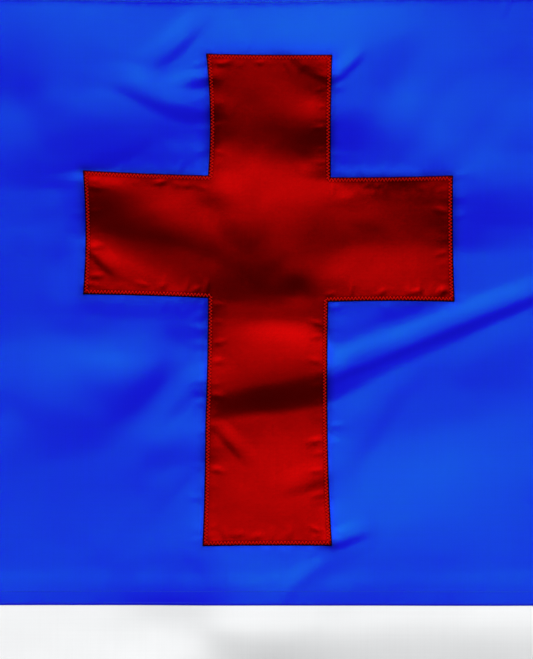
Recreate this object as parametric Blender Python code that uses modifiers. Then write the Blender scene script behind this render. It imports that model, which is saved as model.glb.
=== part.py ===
"""A sewn Christian flag, 3 by 5 ft, laid out face up on a flat surface.

Nylon panels, a red cross sewn on each side of the blue canton, and a canvas heading with two grommets.
Metres. X runs from the hoist to the fly, Y up the flag and Z off the surface.
The origin is the middle of the flag, at the height of the surface.
"""

from math import floor, pi, sin, tau

import bmesh
import bpy
from mathutils import Vector

# The flag
FLAG_LENGTH = 1.524
FLAG_HEIGHT = 0.914
HOIST_X = -FLAG_LENGTH / 2
FLY_X = FLAG_LENGTH / 2
TOP_Y = FLAG_HEIGHT / 2
CLOTH = 0.001
LAYER = 0.00135

# The heading, a canvas tape folded round the hoist, and where the panels end inside it
HEADING_WIDTH = 0.038
HEADING_EDGE_X = HOIST_X + HEADING_WIDTH
PANEL_EDGE_X = HEADING_EDGE_X - 0.012
MOUTH_X = HEADING_EDGE_X + 0.002
CANVAS = 0.001
POCKET = 0.0017
SPINE_WIDTH = 0.0212
POCKET_SLOPE = 0.0043
FOLD_RADIUS = 0.0007

# The grommets
GROMMET_X = HOIST_X + 0.012
GROMMET_Y = TOP_Y - 0.020
GROMMET_HOLE = 0.00475
GROMMET_BARREL = 0.0054
GROMMET_FLANGE = 0.0088
FLANGE = 0.0009
ROLL = 0.0012
FIT_GAP = 0.0003
GROMMET_STEPS = 24
CUTTER_LENGTH = 0.020

# The canton, which takes two fifths of the length and half of the height
CANTON_EDGE_X = HOIST_X + 0.4 * FLAG_LENGTH
SEAM_Y = 0.0
LAP = 0.012

# The cross is six squares of cloth in one piece, three across and four down
ARM = 0.0905
SQUARES_ACROSS = 3
SQUARES_DOWN = 4
BAR_ROW = 1
STEM_COLUMN = 1
CELLS = 5
CROSS_X = (HEADING_EDGE_X + CANTON_EDGE_X) / 2
CROSS_Y = SEAM_Y + 0.2243
CROSS_LEFT = CROSS_X - SQUARES_ACROSS * ARM / 2
CROSS_RIGHT = CROSS_X + SQUARES_ACROSS * ARM / 2
CROSS_FOOT = CROSS_Y - SQUARES_DOWN * ARM / 2
CROSS_TOP = CROSS_Y + SQUARES_DOWN * ARM / 2

# How far the sewing pulls each corner of the squares off its true place, by column and row from the top left
CORNER_PULL = {
    (1, 0): (-0.0004, -0.0007),
    (2, 0): (0.0017, -0.0015),
    (0, 1): (-0.0002, 0.0042),
    (1, 1): (0.0010, 0.0005),
    (2, 1): (0.0007, -0.0007),
    (3, 1): (-0.0002, 0.0005),
    (0, 2): (-0.0002, 0.0037),
    (1, 2): (0.0010, 0.0011),
    (2, 2): (-0.0012, -0.0018),
    (3, 2): (0.0011, -0.0017),
    (1, 3): (-0.0009, 0.0006),
    (2, 3): (-0.0017, 0.0006),
    (1, 4): (-0.0030, 0.0001),
    (2, 4): (0.0016, 0.0005),
}

# How far the middle of a square's edge is drawn in besides: its sides along x, by their upper corner,
# and its tops and feet along y, by their left corner
SIDE_BOW = {
    (1, 0): 0.0021,
    (2, 0): -0.0005,
    (0, 1): 0.0018,
    (3, 1): -0.0006,
    (1, 2): 0.0004,
    (2, 2): -0.0004,
    (1, 3): 0.0004,
    (2, 3): -0.0007,
}
LEVEL_BOW = {
    (1, 0): -0.0004,
    (0, 1): -0.0004,
    (2, 1): -0.0005,
    (0, 2): 0.0004,
    (2, 2): 0.0007,
    (1, 4): 0.0005,
}

# The outer hems are drawn in by up to this much in each bay of their length, over a band beside the edge
HEM_BOW = 0.004
HEM_BAND = 0.047
LONG_BAYS = 3
FLY_BAYS = 2

# The folds lift off the surface. Each is a crest from hoist to fly through its sections, and a section is
# x and y from the middle of the cross, the crest's height, and how far it runs out below and above the crest.
CANTON_FOLDS = {
    "brow": (
        (-0.241, 0.157, 0.0000, 0.088, 0.110),
        (-0.197, 0.158, 0.0085, 0.125, 0.139),
        (-0.157, 0.157, 0.0110, 0.121, 0.147),
        (-0.098, 0.151, 0.0100, 0.109, 0.147),
        (-0.069, 0.148, 0.0078, 0.095, 0.139),
        (-0.044, 0.144, 0.0038, 0.060, 0.132),
        (-0.017, 0.139, 0.0016, 0.041, 0.128),
        (0.016, 0.136, 0.0012, 0.037, 0.128),
        (0.042, 0.139, 0.0018, 0.040, 0.128),
        (0.067, 0.144, 0.0014, 0.044, 0.128),
        (0.097, 0.146, 0.0000, 0.044, 0.110),
    ),
    "brow edge": (
        (-0.182, 0.144, 0.0000, 0.044, 0.066),
        (-0.157, 0.145, 0.0032, 0.059, 0.100),
        (-0.127, 0.141, 0.0034, 0.054, 0.105),
        (-0.098, 0.127, 0.0024, 0.046, 0.100),
        (-0.066, 0.113, 0.0014, 0.031, 0.060),
        (-0.041, 0.108, 0.0000, 0.025, 0.029),
    ),
    "right brow": (
        (0.032, 0.148, 0.0000, 0.044, 0.073),
        (0.051, 0.146, 0.0034, 0.056, 0.103),
        (0.072, 0.139, 0.0038, 0.048, 0.110),
        (0.092, 0.129, 0.0032, 0.044, 0.117),
        (0.115, 0.121, 0.0024, 0.044, 0.110),
        (0.133, 0.121, 0.0012, 0.041, 0.103),
        (0.163, 0.124, 0.0000, 0.037, 0.088),
    ),
    "head": (
        (-0.072, 0.168, 0.0000, 0.073, 0.059),
        (-0.039, 0.168, 0.0022, 0.088, 0.062),
        (0.041, 0.170, 0.0028, 0.088, 0.062),
        (0.067, 0.171, 0.0026, 0.088, 0.059),
        (0.100, 0.171, 0.0000, 0.073, 0.051),
    ),
    "top swell": (
        (-0.241, 0.233, 0.0000, 0.081, 0.044),
        (-0.182, 0.233, 0.0060, 0.088, 0.044),
        (-0.131, 0.233, 0.0060, 0.088, 0.044),
        (-0.094, 0.233, 0.0050, 0.081, 0.044),
        (-0.065, 0.233, 0.0026, 0.066, 0.044),
        (-0.039, 0.233, 0.0000, 0.044, 0.037),
    ),
    "right top swell": (
        (0.082, 0.233, 0.0000, 0.066, 0.044),
        (0.119, 0.233, 0.0020, 0.088, 0.044),
        (0.155, 0.233, 0.0034, 0.095, 0.044),
        (0.214, 0.233, 0.0034, 0.088, 0.044),
        (0.258, 0.233, 0.0000, 0.073, 0.044),
    ),
    "shoulder": (
        (0.040, 0.090, 0.0000, 0.022, 0.007),
        (0.066, 0.089, 0.0010, 0.026, 0.010),
        (0.097, 0.088, 0.0016, 0.032, 0.012),
        (0.119, 0.088, 0.0024, 0.042, 0.020),
        (0.135, 0.089, 0.0036, 0.078, 0.090),
        (0.152, 0.089, 0.0050, 0.066, 0.120),
        (0.177, 0.088, 0.0048, 0.056, 0.120),
        (0.207, 0.088, 0.0034, 0.048, 0.100),
        (0.251, 0.091, 0.0000, 0.044, 0.059),
    ),
    "sash": (
        (-0.156, 0.083, 0.0000, 0.025, 0.010),
        (-0.136, 0.084, 0.0026, 0.040, 0.012),
        (-0.115, 0.080, 0.0044, 0.044, 0.020),
        (-0.083, 0.068, 0.0052, 0.046, 0.052),
        (-0.069, 0.061, 0.0052, 0.048, 0.076),
        (-0.054, 0.053, 0.0044, 0.048, 0.096),
        (-0.039, 0.042, 0.0032, 0.044, 0.100),
        (-0.022, 0.032, 0.0020, 0.034, 0.064),
        (0.001, 0.025, 0.0011, 0.031, 0.040),
        (0.023, 0.023, 0.0007, 0.028, 0.037),
        (0.044, 0.028, 0.0000, 0.026, 0.029),
    ),
    "node": (
        (-0.044, 0.069, 0.0000, 0.044, 0.030),
        (-0.025, 0.063, 0.0028, 0.066, 0.068),
        (-0.009, 0.061, 0.0040, 0.072, 0.064),
        (0.011, 0.061, 0.0042, 0.072, 0.060),
        (0.034, 0.066, 0.0038, 0.068, 0.060),
        (0.050, 0.071, 0.0018, 0.056, 0.015),
        (0.069, 0.075, 0.0006, 0.044, 0.009),
        (0.091, 0.077, 0.0000, 0.029, 0.007),
    ),
    "left swell": (
        (-0.153, 0.024, 0.0000, 0.037, 0.020),
        (-0.132, 0.022, 0.0020, 0.052, 0.030),
        (-0.113, 0.018, 0.0026, 0.064, 0.034),
        (-0.069, 0.008, 0.0028, 0.070, 0.036),
        (-0.050, 0.003, 0.0024, 0.056, 0.030),
        (-0.028, -0.003, 0.0000, 0.022, 0.018),
    ),
    "right swell": (
        (0.023, 0.007, 0.0000, 0.022, 0.018),
        (0.039, 0.004, 0.0026, 0.038, 0.030),
        (0.056, 0.001, 0.0036, 0.044, 0.046),
        (0.078, 0.000, 0.0034, 0.032, 0.048),
        (0.100, 0.000, 0.0026, 0.020, 0.046),
        (0.119, 0.001, 0.0012, 0.013, 0.041),
        (0.137, 0.006, 0.0000, 0.012, 0.029),
    ),
    "flank": (
        (-0.241, 0.051, 0.0000, 0.081, 0.088),
        (-0.197, 0.054, 0.0032, 0.095, 0.103),
        (-0.168, 0.054, 0.0034, 0.095, 0.103),
        (-0.144, 0.051, 0.0028, 0.088, 0.095),
        (-0.118, 0.044, 0.0000, 0.044, 0.066),
    ),
    "long crease": (
        (-0.054, -0.071, 0.0000, 0.019, 0.022),
        (-0.040, -0.068, 0.0030, 0.022, 0.040),
        (-0.017, -0.063, 0.0038, 0.024, 0.052),
        (0.008, -0.059, 0.0044, 0.026, 0.055),
        (0.036, -0.052, 0.0040, 0.029, 0.054),
        (0.050, -0.048, 0.0032, 0.026, 0.014),
        (0.063, -0.044, 0.0027, 0.021, 0.017),
        (0.093, -0.034, 0.0021, 0.017, 0.021),
        (0.122, -0.023, 0.0018, 0.015, 0.019),
        (0.181, -0.001, 0.0013, 0.010, 0.016),
        (0.221, 0.014, 0.0000, 0.009, 0.015),
    ),
    "leaf": (
        (-0.190, -0.083, 0.0000, 0.037, 0.044),
        (-0.171, -0.077, 0.0014, 0.051, 0.059),
        (-0.142, -0.072, 0.0018, 0.051, 0.056),
        (-0.113, -0.059, 0.0026, 0.040, 0.044),
        (-0.083, -0.041, 0.0020, 0.029, 0.032),
        (-0.068, -0.031, 0.0000, 0.022, 0.022),
    ),
    "leaf skirt": (
        (-0.197, -0.088, 0.0000, 0.088, 0.059),
        (-0.160, -0.083, 0.0009, 0.103, 0.066),
        (-0.124, -0.074, 0.0015, 0.117, 0.066),
        (-0.087, -0.063, 0.0022, 0.125, 0.051),
        (-0.058, -0.066, 0.0018, 0.110, 0.037),
        (-0.041, -0.074, 0.0000, 0.066, 0.022),
    ),
    "stem swell": (
        (-0.047, -0.150, 0.0000, 0.044, 0.037),
        (-0.027, -0.150, 0.0016, 0.055, 0.059),
        (0.001, -0.150, 0.0026, 0.055, 0.062),
        (0.027, -0.150, 0.0026, 0.055, 0.062),
        (0.044, -0.148, 0.0000, 0.044, 0.037),
    ),
    "foot roll": (
        (-0.094, -0.254, 0.0000, 0.044, 0.060),
        (-0.062, -0.248, 0.0022, 0.048, 0.076),
        (-0.048, -0.243, 0.0054, 0.050, 0.094),
        (-0.034, -0.240, 0.0108, 0.052, 0.156),
        (-0.006, -0.238, 0.0144, 0.053, 0.176),
        (0.030, -0.237, 0.0144, 0.053, 0.172),
        (0.060, -0.236, 0.0116, 0.053, 0.164),
        (0.133, -0.234, 0.0110, 0.053, 0.190),
        (0.174, -0.234, 0.0112, 0.053, 0.198),
        (0.229, -0.236, 0.0070, 0.051, 0.180),
        (0.287, -0.240, 0.0000, 0.044, 0.100),
    ),
}

# The same for the white field, from the middle of the flag
FIELD_FOLDS = {
    "fly sweep": (
        (-0.060, 0.330, 0.0000, 0.050, 0.080),
        (0.110, 0.270, 0.0078, 0.060, 0.100),
        (0.300, 0.235, 0.0092, 0.066, 0.110),
        (0.480, 0.290, 0.0060, 0.060, 0.100),
        (0.640, 0.350, 0.0000, 0.050, 0.080),
    ),
    "fly dip": (
        (0.230, 0.060, 0.0000, 0.050, 0.070),
        (0.390, 0.110, 0.0070, 0.056, 0.090),
        (0.560, 0.130, 0.0084, 0.060, 0.095),
        (0.762, 0.180, 0.0060, 0.060, 0.090),
    ),
    "lower roll": (
        (-0.560, -0.150, 0.0000, 0.050, 0.080),
        (-0.380, -0.130, 0.0080, 0.058, 0.095),
        (-0.140, -0.165, 0.0090, 0.062, 0.105),
        (0.080, -0.130, 0.0074, 0.058, 0.095),
        (0.260, -0.100, 0.0000, 0.050, 0.080),
    ),
    "foot ripple": (
        (-0.300, -0.400, 0.0000, 0.044, 0.070),
        (-0.120, -0.352, 0.0066, 0.050, 0.080),
        (0.060, -0.330, 0.0070, 0.052, 0.085),
        (0.200, -0.352, 0.0000, 0.044, 0.070),
    ),
    "fly foot": (
        (0.350, -0.270, 0.0000, 0.050, 0.080),
        (0.520, -0.220, 0.0080, 0.058, 0.095),
        (0.762, -0.190, 0.0060, 0.058, 0.090),
    ),
}
FOLD_STEPS = 6
CREST_BLEND = 0.005
TINY = 1e-9

# Between the folds the cloth is slightly uneven, but for one patch by the lower hoist that lies dead flat
RIPPLE = 0.0004
RIPPLE_WAVES = ((0.170, 0.260), (0.230, -0.140))
RIPPLE_RAMP = 0.060
FLAT_LEFT, FLAT_RIGHT = -0.640, -0.400
FLAT_FOOT, FLAT_HEAD = -0.420, -0.270

# The folds die out beside the stiff heading, which lies flat but for the lift over its two grommets
FLAT_X = HEADING_EDGE_X + 0.010
FREE_X = FLAT_X + 0.070
GROMMET_LIFT = FLANGE + FIT_GAP
LIFT_START_Y = GROMMET_Y - 0.013
LIFT_REACH = 0.055

COLOURS = {
    "white nylon": (0.78, 0.79, 0.80),
    "blue nylon": (0.010, 0.050, 0.640),
    "red nylon": (0.480, 0.002, 0.002),
    "canvas": (0.74, 0.72, 0.66),
    "brass": (0.72, 0.50, 0.19),
}


def blend(low, high, share):
    return low + (high - low) * share


def ease(share):
    share = min(max(share, 0.0), 1.0)
    return share * share * (3 - 2 * share)


def evenly(start, end, count):
    """The lines after start that part the way to end into count cells."""
    return [blend(start, end, step / count) for step in range(1, count + 1)]


def smooth_crest(sections):
    """The crest's sections with a Catmull-Rom curve's own between them."""
    crest = []
    last = len(sections) - 1
    for index in range(last):
        before, here, there, after = (sections[min(max(index + k, 0), last)] for k in (-1, 0, 1, 2))
        for step in range(FOLD_STEPS):
            t = step / FOLD_STEPS
            point = [
                b + 0.5 * t * (c - a + t * (2 * a - 5 * b + 4 * c - d + t * (3 * (b - c) + d - a)))
                for a, b, c, d in zip(before, here, there, after)
            ]
            crest.append(point[:2] + [max(size, 0.0) for size in point[2:]])
    crest.append(list(sections[last]))
    return crest


def fold_height(crest, x, y):
    """The lift of one fold at x, y: a steep run on the crest's lower side and a long one above it."""
    nearest = None
    sizes = Vector((0.0, 0.0, 0.0))
    total = 0.0
    for start, end in zip(crest, crest[1:]):
        along_x, along_y = end[0] - start[0], end[1] - start[1]
        share = ((x - start[0]) * along_x + (y - start[1]) * along_y) / (along_x**2 + along_y**2)
        share = min(max(share, 0.0), 1.0)
        off_x, off_y = x - blend(start[0], end[0], share), y - blend(start[1], end[1], share)
        off = (off_x**2 + off_y**2) ** 0.5
        if nearest is None or off < nearest[0]:
            side = (along_x * off_y - along_y * off_x) / ((along_x**2 + along_y**2) ** 0.5 * max(off, TINY))
            nearest = (off, (1 + side) / 2)
        weight = (off**2 + CREST_BLEND**2) ** -2
        sizes += weight * Vector([blend(start[k], end[k], share) for k in (2, 3, 4)])
        total += weight
    off, aboveness = nearest
    height, below, above = sizes / total
    share = off / blend(below, above, aboveness)
    return height * (1 - share**2) ** 2 if share < 1 else 0.0


CRESTS = [
    smooth_crest([(CROSS_X + x, CROSS_Y + y, *sizes) for x, y, *sizes in sections])
    for sections in CANTON_FOLDS.values()
] + [smooth_crest(sections) for sections in FIELD_FOLDS.values()]


def ripple(x, y):
    """The slight unevenness of the cloth, which fades out at the flat patch."""
    outside = max(FLAT_LEFT - x, x - FLAT_RIGHT, FLAT_FOOT - y, y - FLAT_HEAD, 0.0)
    waves = sum(1 + sin(tau * (x / wave_x + y / wave_y)) for wave_x, wave_y in RIPPLE_WAVES)
    return RIPPLE * waves * min(outside / RIPPLE_RAMP, 1.0)


def grommet_lift(x, y):
    """How far the hoist's ends stand off the surface, over the lower flanges of the grommets."""
    from_middle = ease((abs(y) - LIFT_START_Y) / LIFT_REACH + 1)
    from_fly = 1 - ease((x - MOUTH_X) / LIFT_REACH)
    return GROMMET_LIFT * from_middle * from_fly


def lie(x, y):
    """The height of the lowest cloth above the surface."""
    loose = ease((x - FLAT_X) / (FREE_X - FLAT_X))
    folds = sum(fold_height(crest, x, y) for crest in CRESTS) if loose else 0.0
    return loose * (folds + ripple(x, y)) + grommet_lift(x, y)


def sewing_pull(x, y):
    """How far the sewn cross draws the cloth at x, y off its true place."""
    across, down = (x - CROSS_LEFT) / ARM, (CROSS_TOP - y) / ARM
    column, row = floor(across), floor(down)
    across, down = across - column, down - row
    pull = Vector((0.0, 0.0))
    for k, share_x in ((0, 1 - across), (1, across)):
        for m, share_y in ((0, 1 - down), (1, down)):
            pull += share_x * share_y * Vector(CORNER_PULL.get((column + k, row + m), (0.0, 0.0)))
        pull.x += share_x * 4 * down * (1 - down) * SIDE_BOW.get((column + k, row), 0.0)
    for m, share_y in ((0, 1 - down), (1, down)):
        pull.y += share_y * 4 * across * (1 - across) * LEVEL_BOW.get((column, row + m), 0.0)
    return pull


def hem_bow(x, y):
    """How far the top, foot and fly hems bow in at x, y."""
    along_x, along_y = (x - HOIST_X) / FLAG_LENGTH, (y + TOP_Y) / FLAG_HEIGHT
    at_edge_y = ease((abs(y) - TOP_Y) / HEM_BAND + 1)
    at_edge_x = ease((x - FLY_X) / HEM_BAND + 1)
    in_at_fly = HEM_BOW * at_edge_x * sin(FLY_BAYS * pi * along_y) ** 2
    in_at_long = HEM_BOW * at_edge_y * sin(LONG_BAYS * pi * along_x) ** 2
    return Vector((-in_at_fly, -in_at_long if y > 0 else in_at_long))


def placed(x, y, layer):
    """The underside of the cloth of that layer at x, y of the flat cut."""
    drawn = Vector((x, y)) + sewing_pull(x, y) + hem_bow(x, y)
    return Vector((drawn.x, drawn.y, lie(drawn.x, drawn.y) + layer * LAYER))


# The lines of the cloth's grid, closer in the canton than in the field. Panels that overlap share them.
TRIM_X = HEADING_EDGE_X + 0.024
LAP_X = CANTON_EDGE_X - LAP
LINES_X = (
    [PANEL_EDGE_X, MOUTH_X, TRIM_X]
    + evenly(TRIM_X, CROSS_LEFT, 6)
    + evenly(CROSS_LEFT, CROSS_RIGHT, SQUARES_ACROSS * CELLS)
    + evenly(CROSS_RIGHT, LAP_X, 7)
    + [CANTON_EDGE_X]
    + evenly(CANTON_EDGE_X, FLY_X, 22)
)
LINES_Y = (
    [-TOP_Y, -LIFT_START_Y]
    + evenly(-LIFT_START_Y, SEAM_Y, 12)
    + [SEAM_Y + LAP]
    + evenly(SEAM_Y + LAP, CROSS_FOOT, 2)
    + evenly(CROSS_FOOT, CROSS_TOP, SQUARES_DOWN * CELLS)
    + [LIFT_START_Y, TOP_Y]
)
TRIM_I = LINES_X.index(TRIM_X)
LAP_I = LINES_X.index(LAP_X)
CANTON_I = LINES_X.index(CANTON_EDGE_X)
CROSS_I = LINES_X.index(CROSS_LEFT)
SEAM_J = LINES_Y.index(SEAM_Y)
LAP_J = SEAM_J + 1
CROSS_J = LINES_Y.index(CROSS_FOOT)
FLY_I = len(LINES_X) - 1
TOP_J = len(LINES_Y) - 1
CROSS_END_I = CROSS_I + SQUARES_ACROSS * CELLS
CROSS_END_J = CROSS_J + SQUARES_DOWN * CELLS


def on_cross(i, j):
    """Whether the grid's point i, j lies on the cross or its edge."""
    in_stem = STEM_COLUMN * CELLS <= i - CROSS_I <= (STEM_COLUMN + 1) * CELLS
    in_bar = BAR_ROW * CELLS <= CROSS_END_J - j <= (BAR_ROW + 1) * CELLS
    in_height = CROSS_J <= j <= CROSS_END_J
    in_width = CROSS_I <= i <= CROSS_END_I
    return (in_stem and in_height) or (in_bar and in_width)


def lower_field_layer(i, j):
    return 1 if i < TRIM_I else 0


def upper_field_layer(i, j):
    return 1 if j <= LAP_J else 0


def canton_layer(i, j):
    if i >= LAP_I:
        return upper_field_layer(i, j) + 1
    return 1 if j <= LAP_J or i < TRIM_I or on_cross(i, j) else 0


def back_cross_layer(i, j):
    return 0


def front_cross_layer(i, j):
    return 2


def material(name, roughness, metallic=0.0):
    made = bpy.data.materials.new(name)
    made.use_nodes = True
    shader = made.node_tree.nodes["Principled BSDF"]
    shader.inputs["Base Color"].default_value = (*COLOURS[name], 1)
    shader.inputs["Roughness"].default_value = roughness
    shader.inputs["Metallic"].default_value = metallic
    return made


def add_object(name, mesh, finish, collection, parent=None):
    obj = bpy.data.objects.new(name, mesh)
    mesh.materials.append(finish)
    collection.objects.link(obj)
    obj.parent = parent
    return obj


def cloth(name, columns, rows, layer, finish, collection, parent, wanted=None):
    """A sheet over those columns and rows of the grid, lying on what its layer says is under it."""
    first_i, last_i = columns
    first_j, last_j = rows
    cells_x, cells_y = last_i - first_i, last_j - first_j
    sheet = bmesh.new()
    bmesh.ops.create_grid(sheet, x_segments=cells_x, y_segments=cells_y, size=0.5)
    numbered = {
        vert: (first_i + round((vert.co.x + 0.5) * cells_x), first_j + round((vert.co.y + 0.5) * cells_y))
        for vert in sheet.verts
    }
    if wanted:
        spare = [face for face in sheet.faces if not wanted([numbered[vert] for vert in face.verts])]
        bmesh.ops.delete(sheet, geom=spare, context="FACES")
    for vert in sheet.verts:
        i, j = numbered[vert]
        vert.co = placed(LINES_X[i], LINES_Y[j], layer(i, j))
    mesh = bpy.data.meshes.new(name)
    sheet.to_mesh(mesh)
    sheet.free()
    mesh.shade_smooth()
    obj = add_object(name, mesh, finish, collection, parent)
    parted = obj.modifiers.new("triangles", "TRIANGULATE")
    parted.quad_method = "FIXED"
    thick = obj.modifiers.new("thickness", "SOLIDIFY")
    thick.thickness = CLOTH
    thick.offset = 1
    return obj


def is_cross_cell(corners):
    return all(on_cross(i, j) for i, j in corners)


def is_lower_field_cell(corners):
    """The lap under the canton is trimmed off beside the heading."""
    in_lap = max(j for i, j in corners) == LAP_J
    by_heading = min(i for i, j in corners) < TRIM_I
    return not (in_lap and by_heading)


def heading_profile():
    """The folded tape's section, x from the hoist and z, run round from the fold's foot."""
    spine_top = 2 * CANVAS
    mouth_top = 2 * CANVAS + POCKET
    return (
        (0.0, FOLD_RADIUS),
        (FOLD_RADIUS, 0.0),
        (HEADING_WIDTH, 0.0),
        (HEADING_WIDTH, CANVAS),
        (SPINE_WIDTH + POCKET_SLOPE, CANVAS),
        (SPINE_WIDTH + 0.3 * POCKET_SLOPE, CANVAS + 0.3 * POCKET),
        (SPINE_WIDTH + POCKET_SLOPE, CANVAS + POCKET),
        (HEADING_WIDTH, CANVAS + POCKET),
        (HEADING_WIDTH, mouth_top),
        (SPINE_WIDTH + POCKET_SLOPE, mouth_top),
        (SPINE_WIDTH, spine_top),
        (FOLD_RADIUS, spine_top),
        (0.0, spine_top - FOLD_RADIUS),
    )


def heading(finish, collection, parent):
    """The tape's section drawn along the hoist, lifted over the grommets' lower flanges."""
    tape = bmesh.new()
    ring = [tape.verts.new((HOIST_X + x, -TOP_Y, z)) for x, z in heading_profile()]
    face = tape.faces.new(ring)
    for start, end in zip(LINES_Y, LINES_Y[1:]):
        grown = bmesh.ops.extrude_face_region(tape, geom=[face, *face.edges])["geom"]
        moved = [item for item in grown if isinstance(item, bmesh.types.BMVert)]
        bmesh.ops.translate(tape, verts=moved, vec=(0, end - start, 0))
        face = next(item for item in grown if isinstance(item, bmesh.types.BMFace))
    for vert in tape.verts:
        vert.co.z += grommet_lift(vert.co.x, vert.co.y)
    bmesh.ops.recalc_face_normals(tape, faces=tape.faces)
    mesh = bpy.data.meshes.new("heading")
    tape.to_mesh(mesh)
    tape.free()
    return add_object("heading", mesh, finish, collection, parent)


def hole_cutter(name, collection, y):
    bpy.ops.mesh.primitive_cylinder_add(
        vertices=GROMMET_STEPS,
        radius=GROMMET_BARREL + FIT_GAP,
        depth=CUTTER_LENGTH,
        location=(GROMMET_X, y, 0),
    )
    cutter = bpy.context.object
    cutter.name = name
    cutter.hide_render = True
    cutter.display_type = "WIRE"
    for old in cutter.users_collection:
        old.objects.unlink(cutter)
    collection.objects.link(cutter)
    return cutter


def grommet(name, y, finish, collection, parent):
    """A brass ring: a flat flange underneath, a barrel through the canvas and a rolled flange on top."""
    over = GROMMET_LIFT + 2 * CANVAS + FIT_GAP
    crown = over + 1.2 * FLANGE
    section = (
        (GROMMET_HOLE, crown - ROLL),
        (GROMMET_HOLE + 0.35 * ROLL, crown - 0.3 * ROLL),
        (GROMMET_HOLE + ROLL, crown),
        (GROMMET_FLANGE - ROLL, crown),
        (GROMMET_FLANGE - 0.25 * ROLL, crown - 0.4 * ROLL),
        (GROMMET_FLANGE, over),
        (GROMMET_BARREL, over),
        (GROMMET_BARREL, FLANGE),
        (GROMMET_FLANGE, FLANGE),
        (GROMMET_FLANGE, 0.0),
        (GROMMET_HOLE + 0.3 * ROLL, 0.0),
        (GROMMET_HOLE, 0.3 * ROLL),
    )
    profile = bmesh.new()
    ring = [profile.verts.new((r, 0, z)) for r, z in section]
    for start, end in zip(ring, ring[1:] + ring[:1]):
        profile.edges.new((start, end))
    mesh = bpy.data.meshes.new(name)
    profile.to_mesh(mesh)
    profile.free()
    obj = add_object(name, mesh, finish, collection, parent)
    obj.location = (GROMMET_X, y, 0)
    turned = obj.modifiers.new("turned", "SCREW")
    turned.angle = tau
    turned.steps = turned.render_steps = GROMMET_STEPS
    turned.use_merge_vertices = True
    turned.merge_threshold = 0.00001
    return obj


def main():
    for obj in list(bpy.data.objects):
        bpy.data.objects.remove(obj)
    scene = bpy.context.scene
    scene.unit_settings.system = "METRIC"
    parts = bpy.data.collections.new("christian_flag")
    cutters = bpy.data.collections.new("cutters")
    scene.collection.children.link(parts)
    scene.collection.children.link(cutters)
    flag = bpy.data.objects.new("flag", None)
    parts.objects.link(flag)

    white = material("white nylon", 0.55)
    blue = material("blue nylon", 0.45)
    red = material("red nylon", 0.42)
    canvas = material("canvas", 0.85)
    brass = material("brass", 0.32, metallic=1.0)

    cloth("field_lower", (0, FLY_I), (0, LAP_J), lower_field_layer, white, parts, flag, is_lower_field_cell)
    cloth("field_upper", (LAP_I, FLY_I), (SEAM_J, TOP_J), upper_field_layer, white, parts, flag)
    cloth("canton", (0, CANTON_I), (SEAM_J, TOP_J), canton_layer, blue, parts, flag)
    cross_lines = ((CROSS_I, CROSS_END_I), (CROSS_J, CROSS_END_J))
    cloth("cross_back", *cross_lines, back_cross_layer, red, parts, flag, is_cross_cell)
    cloth("cross_front", *cross_lines, front_cross_layer, red, parts, flag, is_cross_cell)

    tape = heading(canvas, parts, flag)
    for name, y in (("upper", GROMMET_Y), ("lower", -GROMMET_Y)):
        cut = tape.modifiers.new(f"{name} hole", "BOOLEAN")
        cut.operation = "DIFFERENCE"
        cut.object = hole_cutter(f"{name}_hole_cutter", cutters, y)
        grommet(f"grommet_{name}", y, brass, parts, flag)


main()
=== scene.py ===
"""A sewn Christian flag, 3 by 5 ft, laid out face up on a pale floor.

Thin nylon panels with rolled hems, a red cross zigzagged on to each side of the blue canton, lockstitched
seams, and a folded canvas heading with two brass grommets. Metres throughout, in the frame's own axes:
X runs from the hoist to the fly, Y up the flag and Z off the floor.
"""

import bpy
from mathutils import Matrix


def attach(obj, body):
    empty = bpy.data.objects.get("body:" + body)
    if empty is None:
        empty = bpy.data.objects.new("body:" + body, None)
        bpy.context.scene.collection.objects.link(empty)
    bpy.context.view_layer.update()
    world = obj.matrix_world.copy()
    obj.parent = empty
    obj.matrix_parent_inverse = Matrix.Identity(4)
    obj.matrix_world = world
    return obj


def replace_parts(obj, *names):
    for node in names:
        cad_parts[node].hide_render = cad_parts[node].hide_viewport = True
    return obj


bl_info = {
    "name": "Sewn Flag",
    "version": (1, 0, 0),
    "blender": (4, 5, 0),
    "location": "View3D > Sidebar > Flag",
    "description": "Makes the cloth, stitching, heading, grommets and studio of a sewn flag",
    "category": "Object",
}

from math import cos, pi, radians, sin, tau
from random import Random

import bmesh
import bpy
import numpy as np
from mathutils import Vector, noise

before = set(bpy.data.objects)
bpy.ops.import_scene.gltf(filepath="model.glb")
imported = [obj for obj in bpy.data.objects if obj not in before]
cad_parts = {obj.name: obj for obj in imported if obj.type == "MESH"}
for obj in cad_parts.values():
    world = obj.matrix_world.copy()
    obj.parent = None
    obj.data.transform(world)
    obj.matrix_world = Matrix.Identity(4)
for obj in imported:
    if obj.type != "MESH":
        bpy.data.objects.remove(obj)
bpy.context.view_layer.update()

# The flag's true cut
FLAG_LENGTH = 1.524
FLAG_HEIGHT = 0.914
HOIST_X = -FLAG_LENGTH / 2
FLY_X = FLAG_LENGTH / 2
TOP_Y = FLAG_HEIGHT / 2

# The heading, and where the panels end inside it
HEADING_WIDTH = 0.038
HEADING_EDGE_X = HOIST_X + HEADING_WIDTH
PANEL_EDGE_X = HEADING_EDGE_X - 0.012
MOUTH_X = HEADING_EDGE_X + 0.002
TRIM_X = HEADING_EDGE_X + 0.024
SPINE_WIDTH = 0.0212
POCKET_SLOPE = 0.0043

# The grommets
GROMMET_X = HOIST_X + 0.012
GROMMET_Y = TOP_Y - 0.020

# The canton, which takes two fifths of the length and half of the height
CANTON_EDGE_X = HOIST_X + 0.4 * FLAG_LENGTH
SEAM_Y = 0.0
LAP = 0.012
LAP_X = CANTON_EDGE_X - LAP

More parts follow.
